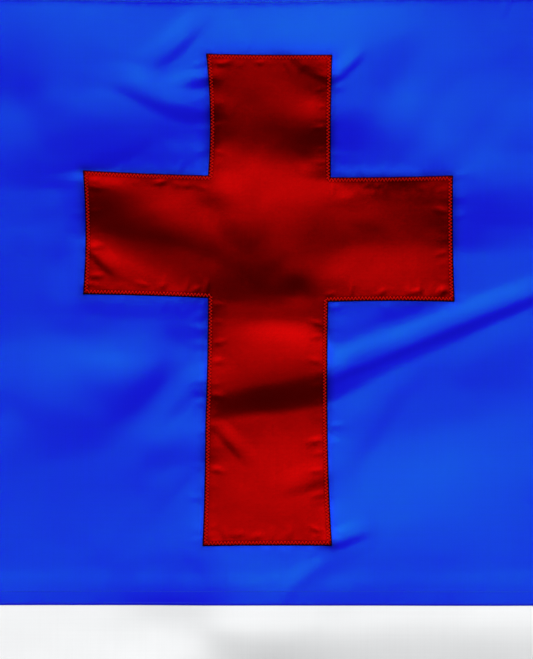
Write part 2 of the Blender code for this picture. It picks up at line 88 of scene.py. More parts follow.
# The cross is six squares of cloth in one piece, three across and four down
ARM = 0.0905
SQUARES_ACROSS = 3
SQUARES_DOWN = 4
CROSS_X = (HEADING_EDGE_X + CANTON_EDGE_X) / 2
CROSS_Y = SEAM_Y + 0.2243
CROSS_LEFT = CROSS_X - SQUARES_ACROSS * ARM / 2
CROSS_RIGHT = CROSS_X + SQUARES_ACROSS * ARM / 2
CROSS_FOOT = CROSS_Y - SQUARES_DOWN * ARM / 2
CROSS_TOP = CROSS_Y + SQUARES_DOWN * ARM / 2
CROSS_OUTLINE = (
    (1, 0), (2, 0), (2, 1), (3, 1), (3, 2), (2, 2),
    (2, 4), (1, 4), (1, 2), (0, 2), (0, 1), (1, 1),
)

# How far the sewing pulls each corner of the squares off its true place, by column and row from the top
# left one
CORNER_PULL = {
    (1, 0): (-0.0004, -0.0007),
    (2, 0): (0.0017, -0.0015),
    (0, 1): (-0.0002, 0.0042),
    (1, 1): (0.0010, 0.0005),
    (2, 1): (0.0007, -0.0007),
    (3, 1): (-0.0002, 0.0005),
    (0, 2): (-0.0002, 0.0037),
    (1, 2): (0.0010, 0.0011),
    (2, 2): (-0.0012, -0.0018),
    (3, 2): (0.0011, -0.0017),
    (1, 3): (-0.0009, 0.0006),
    (2, 3): (-0.0017, 0.0006),
    (1, 4): (-0.0030, 0.0001),
    (2, 4): (0.0016, 0.0005),
}

# How far the middle of a square's edge is drawn in besides: its sides along x, by their upper corner,
# and its tops and feet along y, by their left corner
SIDE_BOW = {
    (1, 0): 0.0021,
    (2, 0): -0.0005,
    (0, 1): 0.0018,
    (3, 1): -0.0006,
    (1, 2): 0.0004,
    (2, 2): -0.0004,
    (1, 3): 0.0004,
    (2, 3): -0.0007,
}
LEVEL_BOW = {
    (1, 0): -0.0004,
    (0, 1): -0.0004,
    (2, 1): -0.0005,
    (0, 2): 0.0004,
    (2, 2): 0.0007,
    (1, 4): 0.0005,
}

# The outer hems are drawn in by up to this much in each bay of their length, over a band beside the edge
HEM_BOW = 0.004
HEM_BAND = 0.047
LONG_BAYS = 3
FLY_BAYS = 2

# The folds lift off the surface. Each is a crest from hoist to fly through its sections, and a section is x
# and y from the middle of the cross, the crest's height, and how far the fold runs out below and above it.
CANTON_FOLDS = {
    "brow": (
        (-0.241, 0.157, 0.0000, 0.088, 0.110),
        (-0.197, 0.158, 0.0085, 0.125, 0.139),
        (-0.157, 0.157, 0.0110, 0.121, 0.147),
        (-0.098, 0.151, 0.0100, 0.109, 0.147),
        (-0.069, 0.148, 0.0078, 0.095, 0.139),
        (-0.044, 0.144, 0.0038, 0.060, 0.132),
        (-0.017, 0.139, 0.0016, 0.041, 0.128),
        (0.016, 0.136, 0.0012, 0.037, 0.128),
        (0.042, 0.139, 0.0018, 0.040, 0.128),
        (0.067, 0.144, 0.0014, 0.044, 0.128),
        (0.097, 0.146, 0.0000, 0.044, 0.110),
    ),
    "brow edge": (
        (-0.182, 0.144, 0.0000, 0.044, 0.066),
        (-0.157, 0.145, 0.0032, 0.059, 0.100),
        (-0.127, 0.141, 0.0034, 0.054, 0.105),
        (-0.098, 0.127, 0.0024, 0.046, 0.100),
        (-0.066, 0.113, 0.0014, 0.031, 0.060),
        (-0.041, 0.108, 0.0000, 0.025, 0.029),
    ),
    "right brow": (
        (0.032, 0.148, 0.0000, 0.044, 0.073),
        (0.051, 0.146, 0.0034, 0.056, 0.103),
        (0.072, 0.139, 0.0038, 0.048, 0.110),
        (0.092, 0.129, 0.0032, 0.044, 0.117),
        (0.115, 0.121, 0.0024, 0.044, 0.110),
        (0.133, 0.121, 0.0012, 0.041, 0.103),
        (0.163, 0.124, 0.0000, 0.037, 0.088),
    ),
    "head": (
        (-0.072, 0.168, 0.0000, 0.073, 0.059),
        (-0.039, 0.168, 0.0022, 0.088, 0.062),
        (0.041, 0.170, 0.0028, 0.088, 0.062),
        (0.067, 0.171, 0.0026, 0.088, 0.059),
        (0.100, 0.171, 0.0000, 0.073, 0.051),
    ),
    "top swell": (
        (-0.241, 0.233, 0.0000, 0.081, 0.044),
        (-0.182, 0.233, 0.0060, 0.088, 0.044),
        (-0.131, 0.233, 0.0060, 0.088, 0.044),
        (-0.094, 0.233, 0.0050, 0.081, 0.044),
        (-0.065, 0.233, 0.0026, 0.066, 0.044),
        (-0.039, 0.233, 0.0000, 0.044, 0.037),
    ),
    "right top swell": (
        (0.082, 0.233, 0.0000, 0.066, 0.044),
        (0.119, 0.233, 0.0020, 0.088, 0.044),
        (0.155, 0.233, 0.0034, 0.095, 0.044),
        (0.214, 0.233, 0.0034, 0.088, 0.044),
        (0.258, 0.233, 0.0000, 0.073, 0.044),
    ),
    "shoulder": (
        (0.040, 0.090, 0.0000, 0.022, 0.007),
        (0.066, 0.089, 0.0010, 0.026, 0.010),
        (0.097, 0.088, 0.0016, 0.032, 0.012),
        (0.119, 0.088, 0.0024, 0.042, 0.020),
        (0.135, 0.089, 0.0036, 0.078, 0.090),
        (0.152, 0.089, 0.0050, 0.066, 0.120),
        (0.177, 0.088, 0.0048, 0.056, 0.120),
        (0.207, 0.088, 0.0034, 0.048, 0.100),
        (0.251, 0.091, 0.0000, 0.044, 0.059),
    ),
    "sash": (
        (-0.156, 0.083, 0.0000, 0.025, 0.010),
        (-0.136, 0.084, 0.0026, 0.040, 0.012),
        (-0.115, 0.080, 0.0044, 0.044, 0.020),
        (-0.083, 0.068, 0.0052, 0.046, 0.052),
        (-0.069, 0.061, 0.0052, 0.048, 0.076),
        (-0.054, 0.053, 0.0044, 0.048, 0.096),
        (-0.039, 0.042, 0.0032, 0.044, 0.100),
        (-0.022, 0.032, 0.0020, 0.034, 0.064),
        (0.001, 0.025, 0.0011, 0.031, 0.040),
        (0.023, 0.023, 0.0007, 0.028, 0.037),
        (0.044, 0.028, 0.0000, 0.026, 0.029),
    ),
    "node": (
        (-0.044, 0.069, 0.0000, 0.044, 0.030),
        (-0.025, 0.063, 0.0028, 0.066, 0.068),
        (-0.009, 0.061, 0.0040, 0.072, 0.064),
        (0.011, 0.061, 0.0042, 0.072, 0.060),
        (0.034, 0.066, 0.0038, 0.068, 0.060),
        (0.050, 0.071, 0.0018, 0.056, 0.015),
        (0.069, 0.075, 0.0006, 0.044, 0.009),
        (0.091, 0.077, 0.0000, 0.029, 0.007),
    ),
    "left swell": (
        (-0.153, 0.024, 0.0000, 0.037, 0.020),
        (-0.132, 0.022, 0.0020, 0.052, 0.030),
        (-0.113, 0.018, 0.0026, 0.064, 0.034),
        (-0.069, 0.008, 0.0028, 0.070, 0.036),
        (-0.050, 0.003, 0.0024, 0.056, 0.030),
        (-0.028, -0.003, 0.0000, 0.022, 0.018),
    ),
    "right swell": (
        (0.023, 0.007, 0.0000, 0.022, 0.018),
        (0.039, 0.004, 0.0026, 0.038, 0.030),
        (0.056, 0.001, 0.0036, 0.044, 0.046),
        (0.078, 0.000, 0.0034, 0.032, 0.048),
        (0.100, 0.000, 0.0026, 0.020, 0.046),
        (0.119, 0.001, 0.0012, 0.013, 0.041),
        (0.137, 0.006, 0.0000, 0.012, 0.029),
    ),
    "flank": (
        (-0.241, 0.051, 0.0000, 0.081, 0.088),
        (-0.197, 0.054, 0.0032, 0.095, 0.103),
        (-0.168, 0.054, 0.0034, 0.095, 0.103),
        (-0.144, 0.051, 0.0028, 0.088, 0.095),
        (-0.118, 0.044, 0.0000, 0.044, 0.066),
    ),
    "long crease": (
        (-0.054, -0.071, 0.0000, 0.019, 0.022),
        (-0.040, -0.068, 0.0030, 0.022, 0.040),
        (-0.017, -0.063, 0.0038, 0.024, 0.052),
        (0.008, -0.059, 0.0044, 0.026, 0.055),
        (0.036, -0.052, 0.0040, 0.029, 0.054),
        (0.050, -0.048, 0.0032, 0.026, 0.014),
        (0.063, -0.044, 0.0027, 0.021, 0.017),
        (0.093, -0.034, 0.0021, 0.017, 0.021),
        (0.122, -0.023, 0.0018, 0.015, 0.019),
        (0.181, -0.001, 0.0013, 0.010, 0.016),
        (0.221, 0.014, 0.0000, 0.009, 0.015),
    ),
    "leaf": (
        (-0.190, -0.083, 0.0000, 0.037, 0.044),
        (-0.171, -0.077, 0.0014, 0.051, 0.059),
        (-0.142, -0.072, 0.0018, 0.051, 0.056),
        (-0.113, -0.059, 0.0026, 0.040, 0.044),
        (-0.083, -0.041, 0.0020, 0.029, 0.032),
        (-0.068, -0.031, 0.0000, 0.022, 0.022),
    ),
    "leaf skirt": (
        (-0.197, -0.088, 0.0000, 0.088, 0.059),
        (-0.160, -0.083, 0.0009, 0.103, 0.066),
        (-0.124, -0.074, 0.0015, 0.117, 0.066),
        (-0.087, -0.063, 0.0022, 0.125, 0.051),
        (-0.058, -0.066, 0.0018, 0.110, 0.037),
        (-0.041, -0.074, 0.0000, 0.066, 0.022),
    ),
    "stem swell": (
        (-0.047, -0.150, 0.0000, 0.044, 0.037),
        (-0.027, -0.150, 0.0016, 0.055, 0.059),
        (0.001, -0.150, 0.0026, 0.055, 0.062),
        (0.027, -0.150, 0.0026, 0.055, 0.062),
        (0.044, -0.148, 0.0000, 0.044, 0.037),
    ),
    "foot roll": (
        (-0.094, -0.254, 0.0000, 0.044, 0.060),
        (-0.062, -0.248, 0.0022, 0.048, 0.076),
        (-0.048, -0.243, 0.0054, 0.050, 0.094),
        (-0.034, -0.240, 0.0108, 0.052, 0.156),
        (-0.006, -0.238, 0.0144, 0.053, 0.176),
        (0.030, -0.237, 0.0144, 0.053, 0.172),
        (0.060, -0.236, 0.0116, 0.053, 0.164),
        (0.133, -0.234, 0.0110, 0.053, 0.190),
        (0.174, -0.234, 0.0112, 0.053, 0.198),
        (0.229, -0.236, 0.0070, 0.051, 0.180),
        (0.287, -0.240, 0.0000, 0.044, 0.100),
    ),
}

# The same for the white field, from the middle of the flag
FIELD_FOLDS = {
    "fly sweep": (
        (-0.060, 0.330, 0.0000, 0.050, 0.080),
        (0.110, 0.270, 0.0078, 0.060, 0.100),
        (0.300, 0.235, 0.0092, 0.066, 0.110),
        (0.480, 0.290, 0.0060, 0.060, 0.100),
        (0.640, 0.350, 0.0000, 0.050, 0.080),
    ),
    "fly dip": (
        (0.230, 0.060, 0.0000, 0.050, 0.070),
        (0.390, 0.110, 0.0070, 0.056, 0.090),
        (0.560, 0.130, 0.0084, 0.060, 0.095),
        (0.762, 0.180, 0.0060, 0.060, 0.090),
    ),
    "lower roll": (
        (-0.560, -0.150, 0.0000, 0.050, 0.080),
        (-0.380, -0.130, 0.0080, 0.058, 0.095),
        (-0.140, -0.165, 0.0090, 0.062, 0.105),
        (0.080, -0.130, 0.0074, 0.058, 0.095),
        (0.260, -0.100, 0.0000, 0.050, 0.080),
    ),
    "foot ripple": (
        (-0.300, -0.400, 0.0000, 0.044, 0.070),
        (-0.120, -0.352, 0.0066, 0.050, 0.080),
        (0.060, -0.330, 0.0070, 0.052, 0.085),
        (0.200, -0.352, 0.0000, 0.044, 0.070),
    ),
    "fly foot": (
        (0.350, -0.270, 0.0000, 0.050, 0.080),
        (0.520, -0.220, 0.0080, 0.058, 0.095),
        (0.762, -0.190, 0.0060, 0.058, 0.090),
    ),
}

# A crest is drawn in this many steps from section to section, whose sizes blend within about this distance
FOLD_STEPS = 6
CREST_BLEND = 0.005
TINY = 1e-9

# Small creases that only the cloth shows, given as the folds of the canton are
CREASES = {
    "echo": (
        (0.048, -0.100, 0.0000, 0.029, 0.019),
        (0.063, -0.088, 0.0008, 0.032, 0.021),
        (0.093, -0.075, 0.0006, 0.032, 0.025),
        (0.152, -0.053, 0.0003, 0.032, 0.037),
        (0.221, -0.030, 0.0000, 0.029, 0.029),
    ),
    "elbow": (
        (0.056, 0.063, 0.0000, 0.009, 0.015),
        (0.072, 0.060, 0.0005, 0.012, 0.016),
        (0.091, 0.057, 0.0000, 0.010, 0.015),
    ),
    "top slant": (
        (0.008, 0.188, 0.0000, 0.009, 0.015),
        (0.019, 0.181, 0.0006, 0.010, 0.018),
        (0.034, 0.171, 0.0007, 0.010, 0.019),
        (0.048, 0.163, 0.0005, 0.008, 0.015),
        (0.056, 0.157, 0.0000, 0.007, 0.012),
    ),
    "hook": (
        (0.142, -0.032, 0.0000, 0.022, 0.012),
        (0.117, -0.044, 0.0003, 0.025, 0.015),
        (0.092, -0.063, 0.0006, 0.029, 0.018),
        (0.072, -0.091, 0.0007, 0.029, 0.018),
        (0.058, -0.116, 0.0005, 0.026, 0.015),
        (0.050, -0.128, 0.0000, 0.019, 0.010),
    ),
    "foot tuck": (
        (0.036, -0.179, 0.0000, 0.005, 0.009),
        (0.049, -0.177, 0.0012, 0.007, 0.010),
        (0.061, -0.173, 0.0010, 0.007, 0.012),
        (0.076, -0.168, 0.0000, 0.006, 0.010),
    ),
    "foot dart": (
        (0.013, -0.218, 0.0000, 0.005, 0.009),
        (0.023, -0.205, 0.0008, 0.006, 0.012),
        (0.035, -0.199, 0.0008, 0.006, 0.012),
        (0.045, -0.196, 0.0000, 0.005, 0.010),
    ),
    "upper tuck": (
        (-0.115, 0.161, 0.0000, 0.007, 0.013),
        (-0.097, 0.156, 0.0016, 0.012, 0.018),
        (-0.080, 0.149, 0.0022, 0.013, 0.019),
        (-0.058, 0.142, 0.0024, 0.015, 0.018),
        (-0.044, 0.140, 0.0014, 0.011, 0.015),
        (-0.031, 0.138, 0.0000, 0.006, 0.010),
    ),
    "upper dart": (
        (-0.071, 0.160, 0.0000, 0.004, 0.007),
        (-0.058, 0.160, 0.0010, 0.007, 0.010),
        (-0.044, 0.162, 0.0010, 0.006, 0.009),
        (-0.036, 0.162, 0.0000, 0.004, 0.007),
    ),
    "head slant": (
        (-0.090, 0.171, 0.0000, 0.007, 0.013),
        (-0.074, 0.182, 0.0010, 0.010, 0.016),
        (-0.060, 0.195, 0.0012, 0.010, 0.016),
        (-0.046, 0.207, 0.0000, 0.007, 0.013),
    ),
    "side dart": (
        (0.042, 0.158, 0.0000, 0.004, 0.007),
        (0.050, 0.164, 0.0010, 0.006, 0.009),
        (0.061, 0.174, 0.0010, 0.006, 0.010),
        (0.069, 0.182, 0.0000, 0.004, 0.009),
    ),
    "low dart": (
        (-0.041, -0.091, 0.0000, 0.004, 0.007),
        (-0.034, -0.097, 0.0008, 0.006, 0.009),
        (-0.022, -0.110, 0.0008, 0.006, 0.010),
        (-0.015, -0.118, 0.0000, 0.005, 0.009),
    ),
    "low slant": (
        (0.007, -0.141, 0.0000, 0.007, 0.012),
        (0.023, -0.135, 0.0006, 0.009, 0.015),
        (0.039, -0.129, 0.0006, 0.009, 0.015),
        (0.050, -0.125, 0.0000, 0.007, 0.012),
    ),
    "node slant": (
        (-0.056, 0.098, 0.0000, 0.009, 0.012),
        (-0.046, 0.088, 0.0008, 0.016, 0.018),
        (-0.031, 0.070, 0.0012, 0.021, 0.026),
        (-0.015, 0.051, 0.0008, 0.018, 0.024),
        (-0.002, 0.035, 0.0000, 0.010, 0.019),
    ),
    "arm dart": (
        (-0.135, 0.041, 0.0000, 0.004, 0.007),
        (-0.128, 0.035, 0.0009, 0.006, 0.010),
        (-0.118, 0.025, 0.0009, 0.006, 0.010),
        (-0.110, 0.017, 0.0000, 0.004, 0.007),
    ),
    "left lip": (
        (-0.205, 0.098, 0.0000, 0.018, 0.035),
        (-0.185, 0.099, 0.0011, 0.021, 0.044),
        (-0.145, 0.102, 0.0014, 0.022, 0.050),
        (-0.102, 0.112, 0.0015, 0.022, 0.055),
        (-0.065, 0.114, 0.0014, 0.021, 0.055),
        (-0.047, 0.112, 0.0012, 0.019, 0.050),
        (-0.039, 0.110, 0.0000, 0.014, 0.035),
    ),
    "right lip": (
        (0.041, 0.104, 0.0000, 0.018, 0.040),
        (0.056, 0.105, 0.0010, 0.020, 0.050),
        (0.086, 0.102, 0.0015, 0.024, 0.060),
        (0.106, 0.104, 0.0015, 0.024, 0.060),
        (0.124, 0.112, 0.0014, 0.022, 0.060),
        (0.140, 0.117, 0.0011, 0.022, 0.050),
        (0.160, 0.118, 0.0000, 0.018, 0.040),
    ),
    "far shoulder": (
        (0.093, 0.158, 0.0000, 0.044, 0.060),
        (0.115, 0.160, 0.0018, 0.055, 0.070),
        (0.137, 0.161, 0.0022, 0.055, 0.070),
        (0.163, 0.158, 0.0016, 0.055, 0.070),
        (0.192, 0.154, 0.0000, 0.044, 0.060),
    ),
    "far shade": (
        (0.126, 0.080, 0.0000, 0.029, 0.025),
        (0.144, 0.082, 0.0010, 0.033, 0.029),
        (0.170, 0.082, 0.0010, 0.033, 0.029),
        (0.203, 0.080, 0.0006, 0.033, 0.029),
        (0.221, 0.079, 0.0000, 0.029, 0.025),
    ),
    "left eave": (
        (-0.120, 0.168, 0.0000, 0.018, 0.044),
        (-0.098, 0.170, 0.0010, 0.021, 0.052),
        (-0.076, 0.168, 0.0011, 0.021, 0.052),
        (-0.054, 0.168, 0.0009, 0.021, 0.052),
        (-0.043, 0.168, 0.0000, 0.018, 0.044),
    ),
    "upper glow": (
        (-0.010, 0.144, 0.0000, 0.035, 0.019),
        (0.006, 0.138, 0.0009, 0.045, 0.026),
        (0.023, 0.132, 0.0014, 0.040, 0.026),
        (0.039, 0.127, 0.0011, 0.024, 0.024),
        (0.049, 0.125, 0.0000, 0.015, 0.019),
    ),
    "right notch": (
        (0.027, 0.100, 0.0000, 0.010, 0.013),
        (0.036, 0.099, 0.0011, 0.013, 0.017),
        (0.047, 0.099, 0.0009, 0.013, 0.017),
        (0.056, 0.099, 0.0000, 0.010, 0.013),
    ),
    "arm fall": (
        (-0.142, 0.046, 0.0000, 0.026, 0.060),
        (-0.127, 0.047, 0.0012, 0.029, 0.070),
        (-0.105, 0.050, 0.0013, 0.031, 0.075),
        (-0.080, 0.055, 0.0014, 0.034, 0.075),
        (-0.054, 0.060, 0.0013, 0.037, 0.075),
        (-0.036, 0.062, 0.0000, 0.030, 0.060),
    ),
    "middle shade": (
        (-0.048, 0.083, 0.0000, 0.015, 0.037),
        (-0.037, 0.082, 0.0007, 0.018, 0.045),
        (-0.021, 0.079, 0.0007, 0.018, 0.045),
        (-0.005, 0.077, 0.0000, 0.015, 0.037),
    ),
    "bar foot": (
        (0.005, 0.018, 0.0000, 0.015, 0.026),
        (0.016, 0.018, 0.0009, 0.018, 0.030),
        (0.034, 0.018, 0.0010, 0.018, 0.030),
        (0.052, 0.018, 0.0009, 0.018, 0.030),
        (0.071, 0.017, 0.0000, 0.015, 0.026),
    ),
    "far crease": (
        (0.119, -0.056, 0.0000, 0.044, 0.018),
        (0.141, -0.050, 0.0008, 0.050, 0.022),
        (0.166, -0.039, 0.0009, 0.050, 0.022),
        (0.188, -0.031, 0.0008, 0.050, 0.022),
        (0.214, -0.022, 0.0000, 0.044, 0.018),
    ),
    "crease lip": (
        (0.039, -0.029, 0.0000, 0.015, 0.018),
        (0.048, -0.029, 0.0011, 0.018, 0.022),
        (0.064, -0.028, 0.0013, 0.018, 0.022),
        (0.082, -0.026, 0.0009, 0.018, 0.022),
        (0.098, -0.023, 0.0000, 0.015, 0.018),
    ),
    "side fall": (
        (-0.103, -0.114, 0.0000, 0.018, 0.018),
        (-0.088, -0.108, 0.0012, 0.022, 0.024),
        (-0.072, -0.102, 0.0017, 0.024, 0.032),
        (-0.056, -0.099, 0.0020, 0.026, 0.042),
        (-0.047, -0.097, 0.0018, 0.026, 0.042),
        (-0.034, -0.097, 0.0000, 0.020, 0.030),
    ),
    "side leaf": (
        (-0.080, -0.086, 0.0000, 0.008, 0.015),
        (-0.071, -0.077, 0.0006, 0.010, 0.017),
        (-0.061, -0.069, 0.0008, 0.010, 0.017),
        (-0.050, -0.061, 0.0008, 0.010, 0.017),
        (-0.041, -0.056, 0.0000, 0.008, 0.015),
    ),
    "leaf lip": (
        (-0.124, -0.074, 0.0000, 0.022, 0.052),
        (-0.109, -0.063, 0.0009, 0.026, 0.059),
        (-0.091, -0.048, 0.0010, 0.026, 0.059),
        (-0.076, -0.039, 0.0008, 0.026, 0.059),
        (-0.065, -0.033, 0.0000, 0.022, 0.052),
    ),
    "side slant": (
        (-0.092, -0.146, 0.0000, 0.014, 0.040),
        (-0.080, -0.136, 0.0008, 0.018, 0.050),
        (-0.066, -0.123, 0.0011, 0.018, 0.050),
        (-0.052, -0.111, 0.0010, 0.018, 0.050),
        (-0.040, -0.101, 0.0000, 0.014, 0.040),
    ),
    "side foot": (
        (-0.087, -0.196, 0.0000, 0.044, 0.026),
        (-0.072, -0.191, 0.0010, 0.050, 0.030),
        (-0.054, -0.188, 0.0011, 0.050, 0.030),
        (-0.041, -0.185, 0.0006, 0.050, 0.030),
        (-0.025, -0.182, 0.0000, 0.044, 0.026),
    ),
    "stem rise": (
        (-0.054, -0.200, 0.0000, 0.032, 0.105),
        (-0.032, -0.202, 0.0017, 0.035, 0.125),
        (0.000, -0.202, 0.0021, 0.035, 0.125),
        (0.030, -0.202, 0.0017, 0.035, 0.125),
        (0.052, -0.200, 0.0000, 0.032, 0.105),
    ),
    "far bar": (
        (0.122, 0.052, 0.0000, 0.018, 0.035),
        (0.133, 0.052, 0.0009, 0.020, 0.040),
        (0.146, 0.052, 0.0008, 0.020, 0.040),
        (0.163, 0.054, 0.0000, 0.018, 0.035),
    ),
    "near bar": (
        (-0.168, 0.052, 0.0000, 0.018, 0.044),
        (-0.155, 0.052, 0.0008, 0.022, 0.050),
        (-0.140, 0.052, 0.0008, 0.022, 0.050),
        (-0.130, 0.052, 0.0000, 0.018, 0.044),
    ),
    "arm glow": (
        (-0.013, 0.108, 0.0000, 0.025, 0.014),
        (0.001, 0.107, 0.0005, 0.030, 0.018),
        (0.016, 0.105, 0.0006, 0.030, 0.018),
        (0.027, 0.104, 0.0000, 0.025, 0.014),
    ),
    "left bar foot": (
        (-0.146, 0.030, 0.0000, 0.022, 0.050),
        (-0.127, 0.031, 0.0007, 0.026, 0.060),
        (-0.087, 0.032, 0.0009, 0.026, 0.060),
        (-0.058, 0.032, 0.0010, 0.026, 0.060),
        (-0.041, 0.032, 0.0000, 0.022, 0.050),
    ),
    "left bar shade": (
        (-0.146, 0.004, 0.0000, 0.016, 0.050),
        (-0.127, 0.004, 0.0008, 0.019, 0.060),
        (-0.087, 0.003, 0.0009, 0.019, 0.060),
        (-0.060, 0.002, 0.0009, 0.019, 0.060),
        (-0.044, 0.001, 0.0000, 0.016, 0.050),
    ),
    "left rise": (
        (-0.165, -0.015, 0.0000, 0.022, 0.044),
        (-0.135, -0.016, 0.0010, 0.026, 0.052),
        (-0.098, -0.016, 0.0014, 0.026, 0.052),
        (-0.065, -0.016, 0.0012, 0.026, 0.052),
        (-0.046, -0.016, 0.0000, 0.022, 0.044),
    ),
    "crease line": (
        (0.041, -0.061, 0.0000, 0.005, 0.015),
        (0.050, -0.056, 0.0009, 0.006, 0.020),
        (0.057, -0.052, 0.0010, 0.006, 0.020),
        (0.076, -0.045, 0.0010, 0.006, 0.020),
        (0.100, -0.035, 0.0009, 0.006, 0.020),
        (0.133, -0.022, 0.0008, 0.006, 0.018),
        (0.160, -0.011, 0.0006, 0.006, 0.016),
        (0.194, 0.002, 0.0004, 0.006, 0.014),
        (0.214, 0.009, 0.0000, 0.005, 0.012),
    ),
    "far tuck": (
        (0.098, 0.082, 0.0000, 0.012, 0.040),
        (0.112, 0.082, 0.0007, 0.014, 0.050),
        (0.128, 0.081, 0.0008, 0.014, 0.050),
        (0.142, 0.080, 0.0006, 0.014, 0.050),
        (0.152, 0.080, 0.0000, 0.012, 0.040),
    ),
    "stem glow": (
        (-0.046, -0.030, 0.0000, 0.045, 0.018),
        (-0.034, -0.031, 0.0009, 0.060, 0.020),
        (0.000, -0.032, 0.0009, 0.060, 0.020),
        (0.030, -0.030, 0.0011, 0.060, 0.020),
        (0.042, -0.028, 0.0000, 0.045, 0.018),
    ),
    "stem lip": (
        (-0.040, -0.098, 0.0000, 0.045, 0.018),
        (-0.028, -0.098, 0.0007, 0.060, 0.022),
        (0.000, -0.096, 0.0008, 0.060, 0.022),
        (0.022, -0.094, 0.0007, 0.060, 0.022),
        (0.036, -0.092, 0.0000, 0.045, 0.018),
    ),
    "low rise": (
        (-0.110, -0.216, 0.0000, 0.016, 0.040),
        (-0.088, -0.218, 0.0009, 0.018, 0.045),
        (-0.060, -0.219, 0.0010, 0.018, 0.045),
        (-0.036, -0.219, 0.0000, 0.016, 0.040),
    ),
}

# The puckers beside the stitching: their length and width, how far they lean, where along them they peak,
# how much rarer the large ones are, how faint the faintest is, and how many pitches off the next one stands
PUCKER_SHORT, PUCKER_LONG = 0.004, 0.012
PUCKER_NARROW, PUCKER_WIDE = 0.0018, 0.0036
PUCKER_LEAN = 0.4
PUCKER_PEAK = 0.3
PUCKER_RARITY = 1.6
PUCKER_FAINTEST = 0.15
PUCKER_NEXT = (0.4, 1.8)

# Where the puckers start beside each row, and the first seed of each kind of row
PUCKER_HEM = 0.012
INSIDE_CROSS = 0.0046
OUTSIDE_CROSS = 0.0014
INSIDE_SEED, OUTSIDE_SEED = 100, 200
RIGHT_SEAM_SEED, LEFT_SEAM_SEED = 300, 400
LENGTHWAYS_SEED = 500

# Between the folds the cloth is slightly uneven, but for one patch by the lower hoist that lies dead flat
RIPPLE = 0.0004
RIPPLE_WAVES = ((0.170, 0.260), (0.230, -0.140))
RIPPLE_RAMP = 0.060
FLAT_LEFT, FLAT_RIGHT = -0.640, -0.400
FLAT_FOOT, FLAT_HEAD = -0.420, -0.270

# The cloth's small lumps by size and seed, and how high the finer ones are beside the others
LUMPS = (0.045, 5.3)
FINE_LUMPS = (0.017, 9.1)
FINE_LUMPS_SHARE = 0.35
LUMP_GAIN = 0.7
RELIEF_RAMP = 0.030

# The folds die out beside the stiff heading, which lies flat but for the lift over its two grommets
FLAT_X = HEADING_EDGE_X + 0.010
FREE_X = FLAT_X + 0.070
GROMMET_LIFT = 0.0012
LIFT_START_Y = GROMMET_Y - 0.013
LIFT_REACH = 0.055

# How high the top of each thin cloth runs over the lowest cloth, and what each cloth under it adds
PANEL_TOP = 0.0009
LAP_RISE = 0.00065
CROSS_RISE = 0.0006
FRONT_CROSS_TOP = 0.00195
BACK_CROSS_TOP = 0.0008
POCKET_RISE = 0.0010
CROSS_RAMP = 0.034
LAP_RAMP = 0.0156
TRIM_RAMP = TRIM_X - MOUTH_X

# A turned edge rolls down over its last bit, and its double cloth ends in a step
ROLL = 0.0009
ROLL_DEPTH = 0.00035
STEP_WIDTH = 0.0014
TURNING_SHOWS = 0.4
TURNING_FADE = 0.0035

# The shade painted into the cloth's colour at the cross's edge, on the cross and on the canton, which the
# cloth holds as an attribute
RIM = "rim"
RIM_CORE = 0.0006
RIM_FADE = 0.0008
STITCH_SHADE = 0.35
STITCH_SHADE_WIDTH = 0.0034
CANTON_SHADE = 0.45
CANTON_SHADE_WIDTH = 0.012

# The lines of a cloth's grid beside a turned edge, as distances in from it, and its cells elsewhere
EDGE_LINES = (0.0004, 0.0009, 0.0016, 0.0026)
TURNING_LINES = (0.0037, 0.0045, 0.0062)
FIELD_CELL = 0.0041
CANTON_CELL = 0.0044
FINE_CELL = 0.0021
CROSS_CELL = 0.0015
FINE_MARGIN = 0.012
CREASE_MARGIN = 0.060
PADDED_CELLS = 2

# Where the rows of straight stitches run: in from an edge, in from the inner side of a hem, how many there
# are at the fly, and how far from the hoist they lie in the heading and stop short of its ends
HEM_INSET = 0.0018
FOLD_INSET = 0.0022
FLY_ROWS = 4
HEADING_ROWS = (0.0285, 0.0352)
HEADING_ROW_END = 0.001

# A stitch stops short of both its ends by this share of its length. At these shares of what is left, its
# middle line lies that many radii over the cloth.
STITCH_GAP = 0.06
STITCH_SHARES = np.array([0.0, 0.14, 0.5, 0.86, 1.0])
STITCH_RISE = np.array([-0.9, 0.55, 0.9, 0.55, -0.9])

# The folded tape: the heights of its leaves, its bend by the hoist in degrees, and the lines of its section,
# in from its two edges or out from the hoist
LOWER_LEAF = 0.00060
UPPER_LEAF = 0.00165
MOUTH_LEAF = 0.00300
BEND_TURN = (UPPER_LEAF - LOWER_LEAF) / 2
BEND_OUT = 0.00036
BEND_FROM, BEND_TO, BEND_STEP = 270, 90, 20
TAPE_EDGE = 0.0001
LOWER_EDGE_LINES = (TAPE_EDGE, 0.0008, 0.004, 0.008, 0.012, 0.0165)
UPPER_EDGE_LINES = (0.0100, 0.0075, 0.005, 0.0025, 0.0008, TAPE_EDGE)
SPINE_LINES = (0.0018, 0.0035, 0.0065, 0.0095, 0.0125, 0.0155, 0.0185)
SLOPE_STEPS = 5
TAPE_CELL = 0.0055
TAPE_WAVE = 0.00022
TAPE_LUMPS = (0.019, 31.7)

# The round punch that makes the tape's holes
PUNCH_SIDES = 48
PUNCH_LENGTH = 0.02
PUNCH_CLEARANCE = 0.0002

